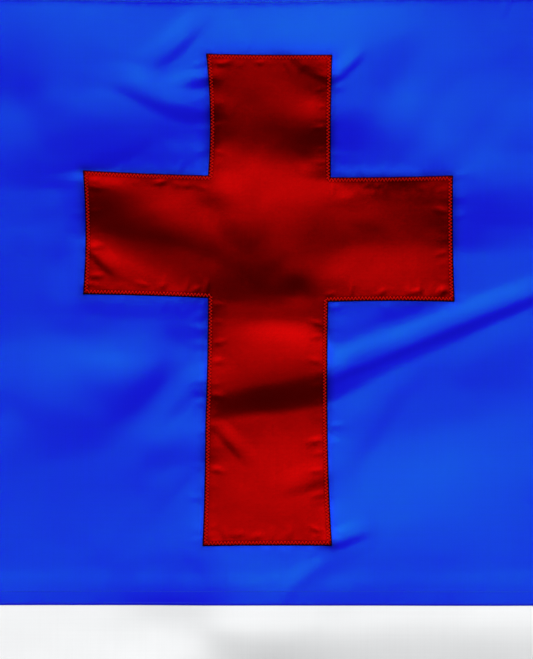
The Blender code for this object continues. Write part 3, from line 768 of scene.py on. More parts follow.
# The grommet's section up to its crown, each point as the radius it is given from, how far outside that it
# lies, and its height. The crown rounds over from the flange to the hole.
GROMMET_SECTION = (
    ("hole", 0.0, 0.0006),
    ("hole", 0.0002, 0.0002),
    ("hole", 0.0007, 0.0),
    ("flange", -0.0007, 0.0),
    ("flange", -0.0002, 0.00015),
    ("flange", 0.0, 0.0005),
    ("flange", -0.0002, 0.0009),
    ("barrel", 0.0002, 0.00095),
    ("barrel", 0.0, 0.00115),
    ("barrel", 0.0, 0.00315),
    ("barrel", 0.0002, 0.0033),
)
CROWN_FOOT = 0.00335
CROWN_TOP = 0.00458
CROWN_FULLNESS = 0.8
CROWN_STEP = 15
GROMMET_STEPS = 72

# The materials: threads a metre, the yarns' lumps by their scale, and how much each shows
NYLON_THREADS = 2200.0
CANVAS_THREADS = 1500.0
PLY_THREADS = 5200.0
NYLON_ROUGHNESS = 0.245
WHITE_ROUGHNESS = 0.50
CANVAS_ROUGHNESS = 0.85
THREAD_ROUGHNESS = 0.55
YARN_LUMPS = (
    ((900.0, 14.0, 1.0), "Amount"),
    ((10.0, 700.0, 1.0), "Amount"),
    ((26.0, 26.0, 1.0), "Blotches"),
)
STREAKS = 0.10
BLOTCHES = 0.04
ROUGH_STREAKS = 0.05
ROUGH_BLOTCHES = 0.12
WEAVE_DEPTH = 0.00003
CANVAS_DEPTH = 0.00012
RED_SATIN = 0.75
BRASS_GRAIN = 420.0
BRASS_ROUGHNESS = (0.22, 0.48)
BRASS_TONE = (0.8, 1.1)

# The studio: its floor, the fill light across from the main one, and what shows behind it all
FLOOR_HALF = 6.0
FLOOR_CELLS = 8
FLOOR_ROUGHNESS = 0.8
FILL_SOFTNESS = radians(70)
FILL_ELEVATION = radians(62)
FILL_TURN = radians(170)
LAMP_DISTANCE = 3
BACKDROP = (0.62, 0.62, 0.63, 1)

# The picture's frame: the camera looks straight down at this point from this far above the cloth
VIEW_X, VIEW_Y = -0.4395, 0.2023
VIEW_HEIGHT = 0.4837
LENS = 300
SENSOR = 36
CLOTH_MIDDLE = 0.004


def blend(low, high, share):
    return low + (high - low) * share


def ease(share):
    share = np.clip(share, 0.0, 1.0)
    return share * share * (3 - 2 * share)


def lines_through(start, *runs):
    """Grid lines from start through the end of each run, whose even cells are about as wide as it says."""
    lines = [start]
    for end, cell in runs:
        begin = lines[-1]
        count = max(round(abs(end - begin) / cell), 1)
        lines += [blend(begin, end, step / count) for step in range(1, count + 1)]
    return lines


# Where the cloth lies


def smooth_crest(sections):
    """The crest's sections with a Catmull-Rom curve's own between them."""
    crest = []
    last = len(sections) - 1
    for index in range(last):
        before, here, there, after = (sections[min(max(index + k, 0), last)] for k in (-1, 0, 1, 2))
        for step in range(FOLD_STEPS):
            t = step / FOLD_STEPS
            point = [
                b + 0.5 * t * (c - a + t * (2 * a - 5 * b + 4 * c - d + t * (3 * (b - c) + d - a)))
                for a, b, c, d in zip(before, here, there, after)
            ]
            crest.append(point[:2] + [max(size, 0.0) for size in point[2:]])
    crest.append(list(sections[last]))
    return crest


def canton_crests(folds):
    return [
        smooth_crest([(CROSS_X + x, CROSS_Y + y, *sizes) for x, y, *sizes in sections])
        for sections in folds.values()
    ]


FOLD_CRESTS = canton_crests(CANTON_FOLDS) + [smooth_crest(sections) for sections in FIELD_FOLDS.values()]
CREASE_CRESTS = canton_crests(CREASES)


def fold_height(crest, x, y):
    """The lift of one fold at x, y: a steep run on the crest's lower side and a long one above it."""
    nearest = np.full(x.shape, np.inf)
    aboveness = np.zeros(x.shape)
    sizes = np.zeros((3, *x.shape))
    total = np.zeros(x.shape)
    for start, end in zip(crest, crest[1:]):
        along_x, along_y = end[0] - start[0], end[1] - start[1]
        share = ((x - start[0]) * along_x + (y - start[1]) * along_y) / (along_x**2 + along_y**2)
        share = np.clip(share, 0.0, 1.0)
        off_x = x - blend(start[0], end[0], share)
        off_y = y - blend(start[1], end[1], share)
        off = np.hypot(off_x, off_y)
        side = (along_x * off_y - along_y * off_x) / (np.hypot(along_x, along_y) * np.maximum(off, TINY))
        closer = off < nearest
        nearest = np.where(closer, off, nearest)
        aboveness = np.where(closer, (1 + side) / 2, aboveness)
        weight = (off**2 + CREST_BLEND**2) ** -2
        for k in range(3):
            sizes[k] += weight * blend(start[k + 2], end[k + 2], share)
        total += weight
    height, below, above = sizes / total
    share = nearest / blend(below, above, aboveness)
    return np.where(share < 1, height * (1 - share**2) ** 2, 0.0)


def all_folds(crests, x, y):
    """The lift of all those folds together, each worked out only near it."""
    lift = np.zeros(x.shape)
    for crest in crests:
        spots = np.array(crest)
        reach = spots[:, 3:].max()
        low_x, low_y = spots[:, :2].min(axis=0) - reach
        high_x, high_y = spots[:, :2].max(axis=0) + reach
        near = (x > low_x) & (x < high_x) & (y > low_y) & (y < high_y)
        if near.any():
            lift[near] += fold_height(crest, x[near], y[near])
    return lift


def ripple(x, y):
    """The slight unevenness of the cloth, which fades out at the flat patch."""
    outside = np.maximum.reduce([FLAT_LEFT - x, x - FLAT_RIGHT, FLAT_FOOT - y, y - FLAT_HEAD, 0 * x])
    waves = sum(1 + np.sin(tau * (x / wave_x + y / wave_y)) for wave_x, wave_y in RIPPLE_WAVES)
    return RIPPLE * waves * np.minimum(outside / RIPPLE_RAMP, 1.0)


def grommet_lift(x, y):
    """How far the hoist's ends stand off the surface, over the lower flanges of the grommets."""
    from_middle = ease((np.abs(y) - LIFT_START_Y) / LIFT_REACH + 1)
    from_fly = 1 - ease((x - MOUTH_X) / LIFT_REACH)
    return GROMMET_LIFT * from_middle * from_fly


def lie(x, y):
    """The height of the lowest cloth above the surface."""
    loose = ease((x - FLAT_X) / (FREE_X - FLAT_X))
    return loose * (all_folds(FOLD_CRESTS, x, y) + ripple(x, y)) + grommet_lift(x, y)


def lattice(table, width):
    """The table by column and row as an array, with empty cells all round it."""
    shape = (SQUARES_ACROSS + 1 + 2 * PADDED_CELLS + 1, SQUARES_DOWN + 1 + 2 * PADDED_CELLS + 1, width)
    filled = np.zeros(shape)
    for (column, row), value in table.items():
        filled[column + PADDED_CELLS, row + PADDED_CELLS] = value
    return filled


CORNER_LATTICE = lattice(CORNER_PULL, 2)
SIDE_LATTICE = lattice(SIDE_BOW, 1)
LEVEL_LATTICE = lattice(LEVEL_BOW, 1)


def sewing_pull(x, y):
    """How far the sewn cross draws the cloth at x, y off its true place."""
    across, down = (x - CROSS_LEFT) / ARM, (CROSS_TOP - y) / ARM
    column = np.clip(np.floor(across), -PADDED_CELLS, SQUARES_ACROSS + PADDED_CELLS - 1).astype(int)
    row = np.clip(np.floor(down), -PADDED_CELLS, SQUARES_DOWN + PADDED_CELLS - 1).astype(int)
    across, down = across - column, down - row
    column, row = column + PADDED_CELLS, row + PADDED_CELLS
    pull_x, pull_y = np.zeros(x.shape), np.zeros(x.shape)
    for k, share_x in ((0, 1 - across), (1, across)):
        for m, share_y in ((0, 1 - down), (1, down)):
            corner = CORNER_LATTICE[column + k, row + m]
            pull_x += share_x * share_y * corner[..., 0]
            pull_y += share_x * share_y * corner[..., 1]
        pull_x += share_x * 4 * down * (1 - down) * SIDE_LATTICE[column + k, row, 0]
    for m, share_y in ((0, 1 - down), (1, down)):
        pull_y += share_y * 4 * across * (1 - across) * LEVEL_LATTICE[column, row + m, 0]
    return pull_x, pull_y


def hem_bow(x, y):
    """How far the top, foot and fly hems bow in at x, y."""
    along_x, along_y = (x - HOIST_X) / FLAG_LENGTH, (y + TOP_Y) / FLAG_HEIGHT
    at_edge_y = ease((np.abs(y) - TOP_Y) / HEM_BAND + 1)
    at_edge_x = ease((x - FLY_X) / HEM_BAND + 1)
    in_at_fly = HEM_BOW * at_edge_x * np.sin(FLY_BAYS * pi * along_y) ** 2
    in_at_long = HEM_BOW * at_edge_y * np.sin(LONG_BAYS * pi * along_x) ** 2
    return -in_at_fly, -np.sign(y) * in_at_long


def on_cross(x, y):
    in_stem = (np.abs(x - CROSS_X) <= ARM / 2) & (y >= CROSS_FOOT) & (y <= CROSS_TOP)
    in_bar = (x >= CROSS_LEFT) & (x <= CROSS_RIGHT) & (y >= CROSS_TOP - 2 * ARM) & (y <= CROSS_TOP - ARM)
    return in_stem | in_bar


def outline_corners():
    return [Vector((CROSS_LEFT + column * ARM, CROSS_TOP - row * ARM)) for column, row in CROSS_OUTLINE]


def depth_in_cross(x, y):
    """How deep inside the cross's edge x, y lies, below nothing outside it."""
    corners = outline_corners()
    nearest = np.full(x.shape, np.inf)
    for start, end in zip(corners, corners[1:] + corners[:1]):
        length = (end - start).length
        ahead = (end - start) / length
        step = np.clip((x - start.x) * ahead.x + (y - start.y) * ahead.y, 0.0, length)
        off = np.hypot(x - start.x - step * ahead.x, y - start.y - step * ahead.y)
        nearest = np.minimum(nearest, off)
    return np.where(on_cross(x, y), nearest, -nearest)


def lumps_at(x, y, size, seed):
    """Smooth lumps of that size, from about 0 to about 1."""
    lumps = np.array([noise.noise((a / size, b / size, seed)) for a, b in zip(x.tolist(), y.tolist())])
    return 0.5 + LUMP_GAIN * lumps


def puckers_beside(start, end, side, seed, starts_at, lengthways=False):
    """Small crests square to a sewn line, or lengthways to it, on its right for side 1, at uneven steps and
    of uneven sizes."""
    cloth = bpy.context.scene.flag_cloth
    dice = Random(seed)
    start, end = Vector(start), Vector(end)
    length = (end - start).length
    ahead = (end - start) / length
    away = side * Vector((ahead.y, -ahead.x))
    way, aside = (ahead, away) if lengthways else (away, ahead)
    crests = []
    step = cloth.pucker_pitch * dice.random()
    while step < length:
        strength = dice.random() ** PUCKER_RARITY
        reach = blend(PUCKER_SHORT, PUCKER_LONG, strength)
        width = blend(PUCKER_NARROW, PUCKER_WIDE, dice.random())
        near = start + step * ahead + (starts_at + lengthways * width) * away
        far = near + reach * (way + dice.uniform(-PUCKER_LEAN, PUCKER_LEAN) * aside)
        peak = near.lerp(far, PUCKER_PEAK)
        height = cloth.puckering * blend(PUCKER_FAINTEST, 1.0, strength)
        spots = ((near, 0.0), (peak, height), (far, 0.0))
        crests.append([(*spot, lift, width, width) for spot, lift in spots])
        step += cloth.pucker_pitch * dice.uniform(*PUCKER_NEXT)
    return crests


def all_puckers():
    """The cloth gathered on both sides of the cross's stitching, the seams and the hems."""
    crests = []
    corners = outline_corners()
    for index, (start, end) in enumerate(zip(corners, corners[1:] + corners[:1])):
        crests += puckers_beside(start, end, 1, INSIDE_SEED + index, INSIDE_CROSS)
        crests += puckers_beside(start, end, -1, OUTSIDE_SEED + index, OUTSIDE_CROSS)
        if start.y == end.y:
            crests += puckers_beside(start, end, 1, LENGTHWAYS_SEED + index, INSIDE_CROSS, lengthways=True)
    top_y, foot_y, fly_x = TOP_Y - PUCKER_HEM, -TOP_Y + PUCKER_HEM, FLY_X - 2 * PUCKER_HEM
    seams = (
        ((MOUTH_X, top_y), (FLY_X, top_y)),
        ((FLY_X, foot_y), (MOUTH_X, foot_y)),
        ((fly_x, TOP_Y), (fly_x, -TOP_Y)),
        ((MOUTH_X, SEAM_Y + LAP), (FLY_X, SEAM_Y + LAP)),
        ((CANTON_EDGE_X, SEAM_Y), (CANTON_EDGE_X, TOP_Y)),
        ((HEADING_EDGE_X, -TOP_Y), (HEADING_EDGE_X, TOP_Y)),
    )
    for index, (start, end) in enumerate(seams):
        crests += puckers_beside(start, end, 1, RIGHT_SEAM_SEED + index, OUTSIDE_CROSS)
        crests += puckers_beside(start, end, -1, LEFT_SEAM_SEED + index, OUTSIDE_CROSS)
    return crests


def relief(flat_x, flat_y, x, y):
    """All that lifts the cloth besides its folds, the same for every layer of it."""
    cloth = bpy.context.scene.flag_cloth
    free = ease((x - MOUTH_X) / RELIEF_RAMP)
    uneven = cloth.unevenness * (lumps_at(x, y, *LUMPS) + FINE_LUMPS_SHARE * lumps_at(x, y, *FINE_LUMPS))
    creased = all_folds(CREASE_CRESTS, x, y)
    gathered = all_folds(all_puckers(), flat_x, flat_y)
    return free * (uneven + creased + gathered)


def settled(x, y, stack):
    """Where the cloth at x, y of the flat cut comes to lie, that far over the lowest cloth."""
    pull_x, pull_y = sewing_pull(x, y)
    bow_x, bow_y = hem_bow(x, y)
    drawn_x, drawn_y = x + pull_x + bow_x, y + pull_y + bow_y
    height = lie(drawn_x, drawn_y) + stack + relief(x, y, drawn_x, drawn_y)
    return np.stack([drawn_x, drawn_y, height], axis=-1)


# How high each cloth runs in the pile


def rolled(distance):
    """How far a turned edge rolls down, that far in from it."""
    return ROLL_DEPTH * (1 - np.clip(distance / ROLL, 0.0, 1.0)) ** 2


def from_outer_edge(x, y):
    """How far in from the flag's top, foot and fly edges a point lies, and how far inside their hems."""
    cloth = bpy.context.scene.flag_cloth
    long_side = TOP_Y - np.abs(y)
    fly_side = FLY_X - x
    edge = np.minimum(long_side, fly_side)
    in_hem = np.maximum(cloth.hem_width - long_side, cloth.fly_hem_width - fly_side)
    return edge, in_hem


def hemmed(x, y):
    """1 in the outer hems, down to nothing just inside them."""
    return ease(from_outer_edge(x, y)[1] / STEP_WIDTH)


def outer_hem_rise(x, y):
    cloth = bpy.context.scene.flag_cloth
    return cloth.hem_rise * hemmed(x, y) - rolled(from_outer_edge(x, y)[0])


def lap_in_y(y):
    return 1 - ease((y - SEAM_Y - LAP) / LAP_RAMP)


def lap_in_x(x):
    return ease((x - LAP_X) / LAP_RAMP + 1)


def beside_heading(x):
    return 1 - ease((x - MOUTH_X) / TRIM_RAMP)


def lower_field_stack(x, y):
    return PANEL_TOP + POCKET_RISE * beside_heading(x) + outer_hem_rise(x, y)


def upper_field_stack(x, y):
    turned = np.minimum(y - SEAM_Y, x - LAP_X)
    return PANEL_TOP + LAP_RISE * lap_in_y(y) + outer_hem_rise(x, y) - rolled(turned)


def canton_stack(x, y):
    over_cross = CROSS_RISE * (1 - ease(-depth_in_cross(x, y) / CROSS_RAMP))
    over_lap = LAP_RISE * lap_in_y(y)
    over_pocket = POCKET_RISE * beside_heading(x)
    on_panel = np.maximum.reduce([over_cross, over_lap, over_pocket])
    on_field = LAP_RISE * (1 + lap_in_y(y))
    turned = np.minimum(y - SEAM_Y, CANTON_EDGE_X - x)
    return PANEL_TOP + blend(on_panel, on_field, lap_in_x(x)) + outer_hem_rise(x, y) - rolled(turned)


def turned_in(depth):
    """1 where the cross's edge is turned under, down to nothing just inside."""
    cloth = bpy.context.scene.flag_cloth
    return 1 - ease((depth - cloth.cross_turning) / TURNING_FADE)


def front_cross_stack(x, y):
    cloth = bpy.context.scene.flag_cloth
    depth = np.abs(depth_in_cross(x, y))
    return FRONT_CROSS_TOP + TURNING_SHOWS * cloth.hem_rise * turned_in(depth) - rolled(depth)


def back_cross_stack(x, y):
    return np.full(x.shape, BACK_CROSS_TOP)


def cross_painted_shade(x, y):
    """The shade painted on the cross: 1 at its edge, less under the stitching, then 0."""
    depth = np.abs(depth_in_cross(x, y))
    # Painted shade along the turned edge, and a fainter painted shade under the zigzag
    painted_edge_shade = 1 - ease((depth - RIM_CORE) / RIM_FADE)
    under_stitches = 1 - ease((depth - STITCH_SHADE_WIDTH) / RIM_FADE)
    return np.maximum(painted_edge_shade, STITCH_SHADE * under_stitches)


def canton_painted_shade(x, y):
    """How much shade is painted on the canton beside the cross's edge, down to nothing a little away from
    it.
    """
    outside = np.clip(-depth_in_cross(x, y) / CANTON_SHADE_WIDTH, 0.0, 1.0)
    return CANTON_SHADE * (1 - outside) ** 4


# Making meshes


def clear(name):
    """Removes the piece of that name where it was made before."""
    old = bpy.data.objects.get(name)
    if old:
        bpy.data.objects.remove(old)


def flag_object(name, mesh, material):
    """An object of that mesh at the origin, which moves with the flag's one body."""
    mesh.name = name
    obj = bpy.data.objects.new(name, mesh)
    bpy.context.scene.collection.objects.link(obj)
    obj.data.materials.clear()
    obj.data.materials.append(material)
    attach(obj, "root")
    return obj


def mesh_of(shape, name):
    """The mesh of that bmesh, which is freed."""
    mesh = bpy.data.meshes.new(name)
    shape.to_mesh(mesh)
    shape.free()
    return mesh


def grid_mesh(name, cells_x, cells_y, wanted=None):
    """A grid of that many cells each way, and the column and row of each of its vertices. wanted says by
    column and row which cells stay."""
    half = 0.5
    grid = bmesh.new()
    bmesh.ops.create_grid(grid, x_segments=cells_x, y_segments=cells_y, size=half)
    if wanted:
        spare = []
        for face in grid.faces:
            middle = face.calc_center_median()
            if not wanted(int((middle.x + half) * cells_x), int((middle.y + half) * cells_y)):
                spare.append(face)
        bmesh.ops.delete(grid, geom=spare, context="FACES")
    mesh = mesh_of(grid, name)
    places = np.empty(3 * len(mesh.vertices))
    mesh.vertices.foreach_get("co", places)
    places = places.reshape(-1, 3)
    column = np.rint((places[:, 0] + half) * cells_x).astype(int)
    row = np.rint((places[:, 1] + half) * cells_y).astype(int)
    return mesh, column, row


def place_vertices(mesh, points):
    mesh.vertices.foreach_set("co", points.ravel())
    mesh.update()
    mesh.shade_smooth()


def cloth_sheet(name, lines_x, lines_y, stack, material, double, wanted=None, rim=None):
    """A thin cloth over that grid of the flat cut. double says where it is two layers thick, wanted where
    it has cloth, and rim how much shade is painted on it beside a turned edge."""
    cloth = bpy.context.scene.flag_cloth
    lines_x, lines_y = np.array(lines_x), np.array(lines_y)
    middles_x, middles_y = ((lines[1:] + lines[:-1]) / 2 for lines in (lines_x, lines_y))

    def cell_wanted(column, row):
        return wanted(middles_x[column], middles_y[row])

    mesh, column, row = grid_mesh(name, len(middles_x), len(middles_y), cell_wanted if wanted else None)
    x, y = lines_x[column], lines_y[row]
    place_vertices(mesh, settled(x, y, stack(x, y)))
    if rim:
        mesh.attributes.new(RIM, "FLOAT", "POINT").data.foreach_set("value", rim(x, y))

    obj = flag_object(name, mesh, material)
    layers = obj.vertex_groups.new(name="double layer")
    layers.add(np.flatnonzero(double(x, y)).tolist(), 1.0, "REPLACE")
    thick = obj.modifiers.new("thickness", "SOLIDIFY")
    thick.thickness = cloth.double_thickness
    thick.thickness_vertex_group = cloth.nylon_thickness / cloth.double_thickness
    thick.vertex_group = layers.name
    thick.offset = -1
    return obj


def thread_mesh(stitches, radius, sides):
    """Each stitch, a short row of points, as a thread with that many sides, four or more."""
    line = bpy.data.curves.new("thread", "CURVE")
    line.dimensions = "3D"
    line.bevel_depth = radius
    line.bevel_resolution = (sides - 4) // 2
    line.use_fill_caps = True
    for points in stitches:
        spline = line.splines.new("POLY")
        spline.points.add(len(points) - 1)
        spline.points.foreach_set("co", np.column_stack([points, np.ones(len(points))]).ravel())
    made = bpy.data.objects.new("thread", line)
    bpy.context.scene.collection.objects.link(made)
    mesh = bpy.data.meshes.new_from_object(made)
    bpy.data.objects.remove(made)
    bpy.data.curves.remove(line)
    mesh.shade_smooth()
    return mesh


def sew(name, starts, ends, surface, material, below=False, sides=4):
    """A piece of stitches laid on a surface from each start to each end, dipping into the cloth at both.
    The ones below a cloth are in the thinner under thread."""
    settings = bpy.context.scene.flag_stitches
    radius = settings.under_thread if below else settings.thread
    share = STITCH_SHARES[None, :, None]
    flat = starts[:, None, :] * (1 - share) + ends[:, None, :] * share
    points = surface(flat[..., 0].ravel(), flat[..., 1].ravel()).reshape(*flat.shape[:2], 3)
    points[..., 2] += (-radius if below else radius) * STITCH_RISE
    clear(name)
    flag_object(name, thread_mesh(points, radius, sides), material)


def straight_rows(rows, pitch):
    """The starts and the ends of all straight stitches of those rows on the flat cut."""
    starts, ends = [], []
    for start, end in np.array(rows):
        count = max(round(np.linalg.norm(end - start) / pitch), 1)
        ahead = (end - start) / count
        begins = start + np.arange(count)[:, None] * ahead
        starts.append(begins + STITCH_GAP * ahead)
        ends.append(begins + (1 - STITCH_GAP) * ahead)
    return np.concatenate(starts), np.concatenate(ends)


# Materials


def feed(tree, made, values):
    """Gives a node's inputs, by name or number, their values, each a constant or a socket to link."""
    for key, value in values.items():
        if isinstance(value, bpy.types.NodeSocket):
            tree.links.new(value, made.inputs[key])
        else:
            made.inputs[key].default_value = value


def node(tree, kind, place, values=None, **settings):
    """A new node there with those settings, its inputs fed with those values."""
    made = tree.nodes.new(kind)
    made.location = place
    for name, value in settings.items():
        setattr(made, name, value)
    feed(tree, made, values or {})
    return made


def maths(tree, operation, place, *values):
    """What a Math node makes of those values, each a socket or a number."""
    return node(tree, "ShaderNodeMath", place, dict(enumerate(values)), operation=operation).outputs[0]


def scaled(tree, place, colour, share):
    """That colour, a constant or a socket, times that share."""
    values = {0: colour, "Scale": share}
    return node(tree, "ShaderNodeVectorMath", place, values, operation="SCALE").outputs[0]


def spread(tree, place, value, ends):
    """That value from 0 to 1 brought between those ends."""
    values = {"Value": value, "To Min": ends[0], "To Max": ends[1]}
    return node(tree, "ShaderNodeMapRange", place, values).outputs[0]


def new_group(name, inputs, output):
    """An empty shader node group with those float inputs and that output, and its two end nodes."""
    group = bpy.data.node_groups.new(name, "ShaderNodeTree")
    for label, value in inputs.items():
        socket = group.interface.new_socket(name=label, in_out="INPUT", socket_type="NodeSocketFloat")
        socket.default_value = value
    group.interface.new_socket(name=output, in_out="OUTPUT", socket_type="NodeSocketFloat")
    return group, node(group, "NodeGroupInput", (-900, 0)), node(group, "NodeGroupOutput", (700, 0))


def plain_weave():
    """Puts out the height of a plain weave with that many threads a metre."""
    name = "Plain weave"
    if name in bpy.data.node_groups:
        return bpy.data.node_groups[name]
    group, given, put_out = new_group(name, {"Threads": NYLON_THREADS}, "Height")
    place = node(group, "ShaderNodeTexCoord", (-900, -200)).outputs["Object"]
    parts = node(group, "ShaderNodeSeparateXYZ", (-700, -200), {0: place})
    turns = maths(group, "MULTIPLY", (-700, 0), given.outputs["Threads"], pi)
    waves = []
    for axis, height in (("X", 0), ("Y", -200)):
        run = maths(group, "MULTIPLY", (-500, height), parts.outputs[axis], turns)
        waves.append(maths(group, "SINE", (-300, height), run))
    crossed = maths(group, "MULTIPLY", (-100, 0), *waves)
    feed(group, put_out, {"Height": maths(group, "ADD", (100, 0), crossed, 1.0)})
    return group


def yarn_streaks():
    """Puts out a shade about 1 that follows uneven yarns, most of all those that run up the cloth."""
    name = "Yarn streaks"
    if name in bpy.data.node_groups:
        return bpy.data.node_groups[name]
    group, given, put_out = new_group(name, {"Amount": STREAKS, "Blotches": BLOTCHES}, "Shade")
    place = node(group, "ShaderNodeTexCoord", (-1100, -200)).outputs["Object"]
    shades = []
    for index, (scale, label) in enumerate(YARN_LUMPS):
        height = 200 - 300 * index
        stretched = node(group, "ShaderNodeMapping", (-800, height), {"Vector": place, "Scale": scale})
        values = {"Vector": stretched.outputs[0], "Scale": 1.0, "Detail": 2.0}
        lumps = node(group, "ShaderNodeTexNoise", (-600, height), values)
        about = maths(group, "SUBTRACT", (-400, height), lumps.outputs[0], 0.5)
        shades.append(maths(group, "MULTIPLY", (-200, height), about, given.outputs[label]))
    together = maths(group, "ADD", (0, 0), maths(group, "ADD", (0, 200), shades[0], shades[1]), shades[2])
    feed(group, put_out, {"Shade": maths(group, "ADD", (300, 0), together, 1.0)})
    return group


def finish_of(name, colour, roughness=0.5, metallic=0.0):
    """A new material with its Principled shader set, and that shader."""
    made = bpy.data.materials.new(name)
    made.use_nodes = True
    made.diffuse_color = (*colour, 1.0)
    shader = made.node_tree.nodes["Principled BSDF"]
    looks = {"Base Color": (*colour, 1.0), "Roughness": roughness, "Metallic": metallic}
    feed(made.node_tree, shader, looks)
    return made, shader


def cloth_finish(
    name,
    colour,
    roughness,
    gloss=0.5,
    threads=NYLON_THREADS,
    streaks=STREAKS,
    blotches=BLOTCHES,
    depth=WEAVE_DEPTH,
):
    """Woven cloth: its colour and roughness streaked by the yarns, and the weave as a fine bump."""
    material, shader = finish_of(name, colour, roughness)
    tree = material.node_tree
    streaked, dulled = (
        node(tree, "ShaderNodeGroup", (-700, height), node_tree=yarn_streaks()) for height in (200, 0)
    )
    feed(tree, streaked, {"Amount": streaks, "Blotches": blotches})
    feed(tree, dulled, {"Amount": ROUGH_STREAKS, "Blotches": ROUGH_BLOTCHES})
    woven = node(tree, "ShaderNodeGroup", (-700, -200), node_tree=plain_weave())
    feed(tree, woven, {"Threads": threads})
    values = {"Strength": 1.0, "Distance": depth, "Height": woven.outputs["Height"]}
    bump = node(tree, "ShaderNodeBump", (-400, -200), values)
    looks = {
        "Base Color": scaled(tree, (-400, 200), colour, streaked.outputs["Shade"]),
        "Roughness": maths(tree, "MULTIPLY", (-400, 0), dulled.outputs["Shade"], roughness),
        "Specular IOR Level": gloss,
        "Normal": bump.outputs[0],
    }
    feed(tree, shader, looks)
    return material, shader


def paint_shade_at_rim(tree, shader):
    """Paints shade into the colour where the sheet lies by a turned edge, and gives how much is painted."""
    rim = node(tree, "ShaderNodeAttribute", (-1000, 0), attribute_name=RIM).outputs["Fac"]
    lit = maths(tree, "SUBTRACT", (-800, 0), 1.0, rim)
    plain = shader.inputs["Base Color"].links[0].from_socket
    feed(tree, shader, {"Base Color": scaled(tree, (-200, 200), plain, lit)})
    return rim


def blue_nylon(name):
    """The canton's cloth, whose tinted gloss gives way beside the cross to a sheen of its own blue, darkened
    there by painted shade.
    """
    cloth = bpy.context.scene.flag_cloth
    material, shader = cloth_finish(name, cloth.blue, NYLON_ROUGHNESS, gloss=0.31)
    tree = material.node_tree
    rim = paint_shade_at_rim(tree, shader)
    # The painted shade beside the cross darkens the colour and turns the gloss into a sheen of that darkened
    # blue
    feed(tree, shader, {"Specular Tint": (*cloth.blue_gloss, 1.0), "Metallic": rim})
    return material


def red_nylon(name):
    """The crosses' cloth, whose satin sheen is of its own red, its colour and sheen darkened by painted
    shade at the edge and under the stitching.
    """
    cloth = bpy.context.scene.flag_cloth
    material, shader = cloth_finish(
        name, cloth.red, NYLON_ROUGHNESS, gloss=0.0, streaks=0.13, blotches=0.30
    )
    tree = material.node_tree
    paint_shade_at_rim(tree, shader)
    feed(tree, shader, {"Specular Tint": (*cloth.red_gloss, 1.0), "Metallic": RED_SATIN})
    return material


def white_nylon(name):
    cloth = bpy.context.scene.flag_cloth
    return cloth_finish(name, cloth.white, WHITE_ROUGHNESS, streaks=0.05)[0]


def canvas(name):
    hoist = bpy.context.scene.flag_hoist
    return cloth_finish(
        name, hoist.canvas, CANVAS_ROUGHNESS, threads=CANVAS_THREADS, streaks=0.12, depth=CANVAS_DEPTH
    )[0]


def thread(name):
    """Thread of the colour that its name says, whose gloss is of the same hue."""
    colour = getattr(bpy.context.scene.flag_stitches, name.replace(" ", "_"))
    material, shader = cloth_finish(
        name, colour, THREAD_ROUGHNESS, gloss=0.2, threads=PLY_THREADS, streaks=0.3
    )
    feed(material.node_tree, shader, {"Specular Tint": (*(Vector(colour) / max(colour)), 1.0)})
    return material


def brass(name):
    """Stamped brass, slightly dulled and scratched."""
    hoist = bpy.context.scene.flag_hoist
    material, shader = finish_of(name, hoist.brass, metallic=1.0)
    tree = material.node_tree
    place = node(tree, "ShaderNodeTexCoord", (-900, 0)).outputs["Object"]
    values = {"Vector": place, "Scale": BRASS_GRAIN, "Detail": 4.0}
    grain = node(tree, "ShaderNodeTexNoise", (-700, 200), values).outputs[0]
    tone = spread(tree, (-500, 450), grain, BRASS_TONE)
    looks = {
        "Base Color": scaled(tree, (-300, 450), hoist.brass, tone),
        "Roughness": spread(tree, (-500, 200), grain, BRASS_ROUGHNESS),
    }
    feed(tree, shader, looks)
    return material


FINISHES = {
    "blue nylon": blue_nylon,
    "red nylon": red_nylon,
    "white nylon": white_nylon,
    "blue thread": thread,
    "red thread": thread,
    "white thread": thread,
    "canvas": canvas,
    "brass": brass,
}


def finish(name):
    """The material of that name, made the first time that a piece asks for it."""
    return bpy.data.materials.get(name) or FINISHES[name](name)


# What a user can change


def length_setting(name, description, default, **limits):
    return bpy.props.FloatProperty(
        name=name, description=description, default=default, unit="LENGTH", **limits
    )


def angle_setting(name, description, degrees):
    return bpy.props.FloatProperty(
        name=name, description=description, default=radians(degrees), subtype="ANGLE"
    )


def strength_setting(name, description, default):
    return bpy.props.FloatProperty(name=name, description=description, default=default, min=0)


def colour_setting(name, description, default):
    return bpy.props.FloatVectorProperty(
        name=name, description=description, default=default, subtype="COLOR", min=0, max=1
    )


class ClothSettings(bpy.types.PropertyGroup):
    """The nylon and how it is gathered"""

    nylon_thickness: length_setting("Nylon", "Thickness of the nylon cloth", 0.00028, min=0.0001)
    double_thickness: length_setting("Hem thickness", "Thickness where an edge is turned", 0.00058)
    hem_width: length_setting("Long hems", "Width of the top and foot hems", 0.013)
    fly_hem_width: length_setting("Fly hem", "Width of the hem at the fly", 0.025)
    hem_rise: length_setting("Hem rise", "How far turned cloth stands over plain cloth", 0.00025)
    cross_turning: length_setting("Cross turning", "Width turned under round the cross", 0.0038)
    puckering: length_setting("Puckering", "Height of the puckers beside the stitching", 0.00050)
    pucker_pitch: length_setting("Pucker pitch", "Usual distance between two puckers", 0.0100)
    unevenness: length_setting("Unevenness", "Height of the small lumps of the cloth", 0.00045)
    blue: colour_setting("Blue", "Colour of the canton", (0.007, 0.005, 0.64))
    blue_gloss: colour_setting("Blue gloss", "Colour of the canton's gloss", (0.0, 0.8, 0.1))
    red: colour_setting("Red", "Colour of the cross", (0.142, 0.0004, 0.0004))
    red_gloss: colour_setting("Red gloss", "Colour of the cross's gloss", (1.0, 0.0, 0.0))
    white: colour_setting("White", "Colour of the field", (0.78, 0.79, 0.80))


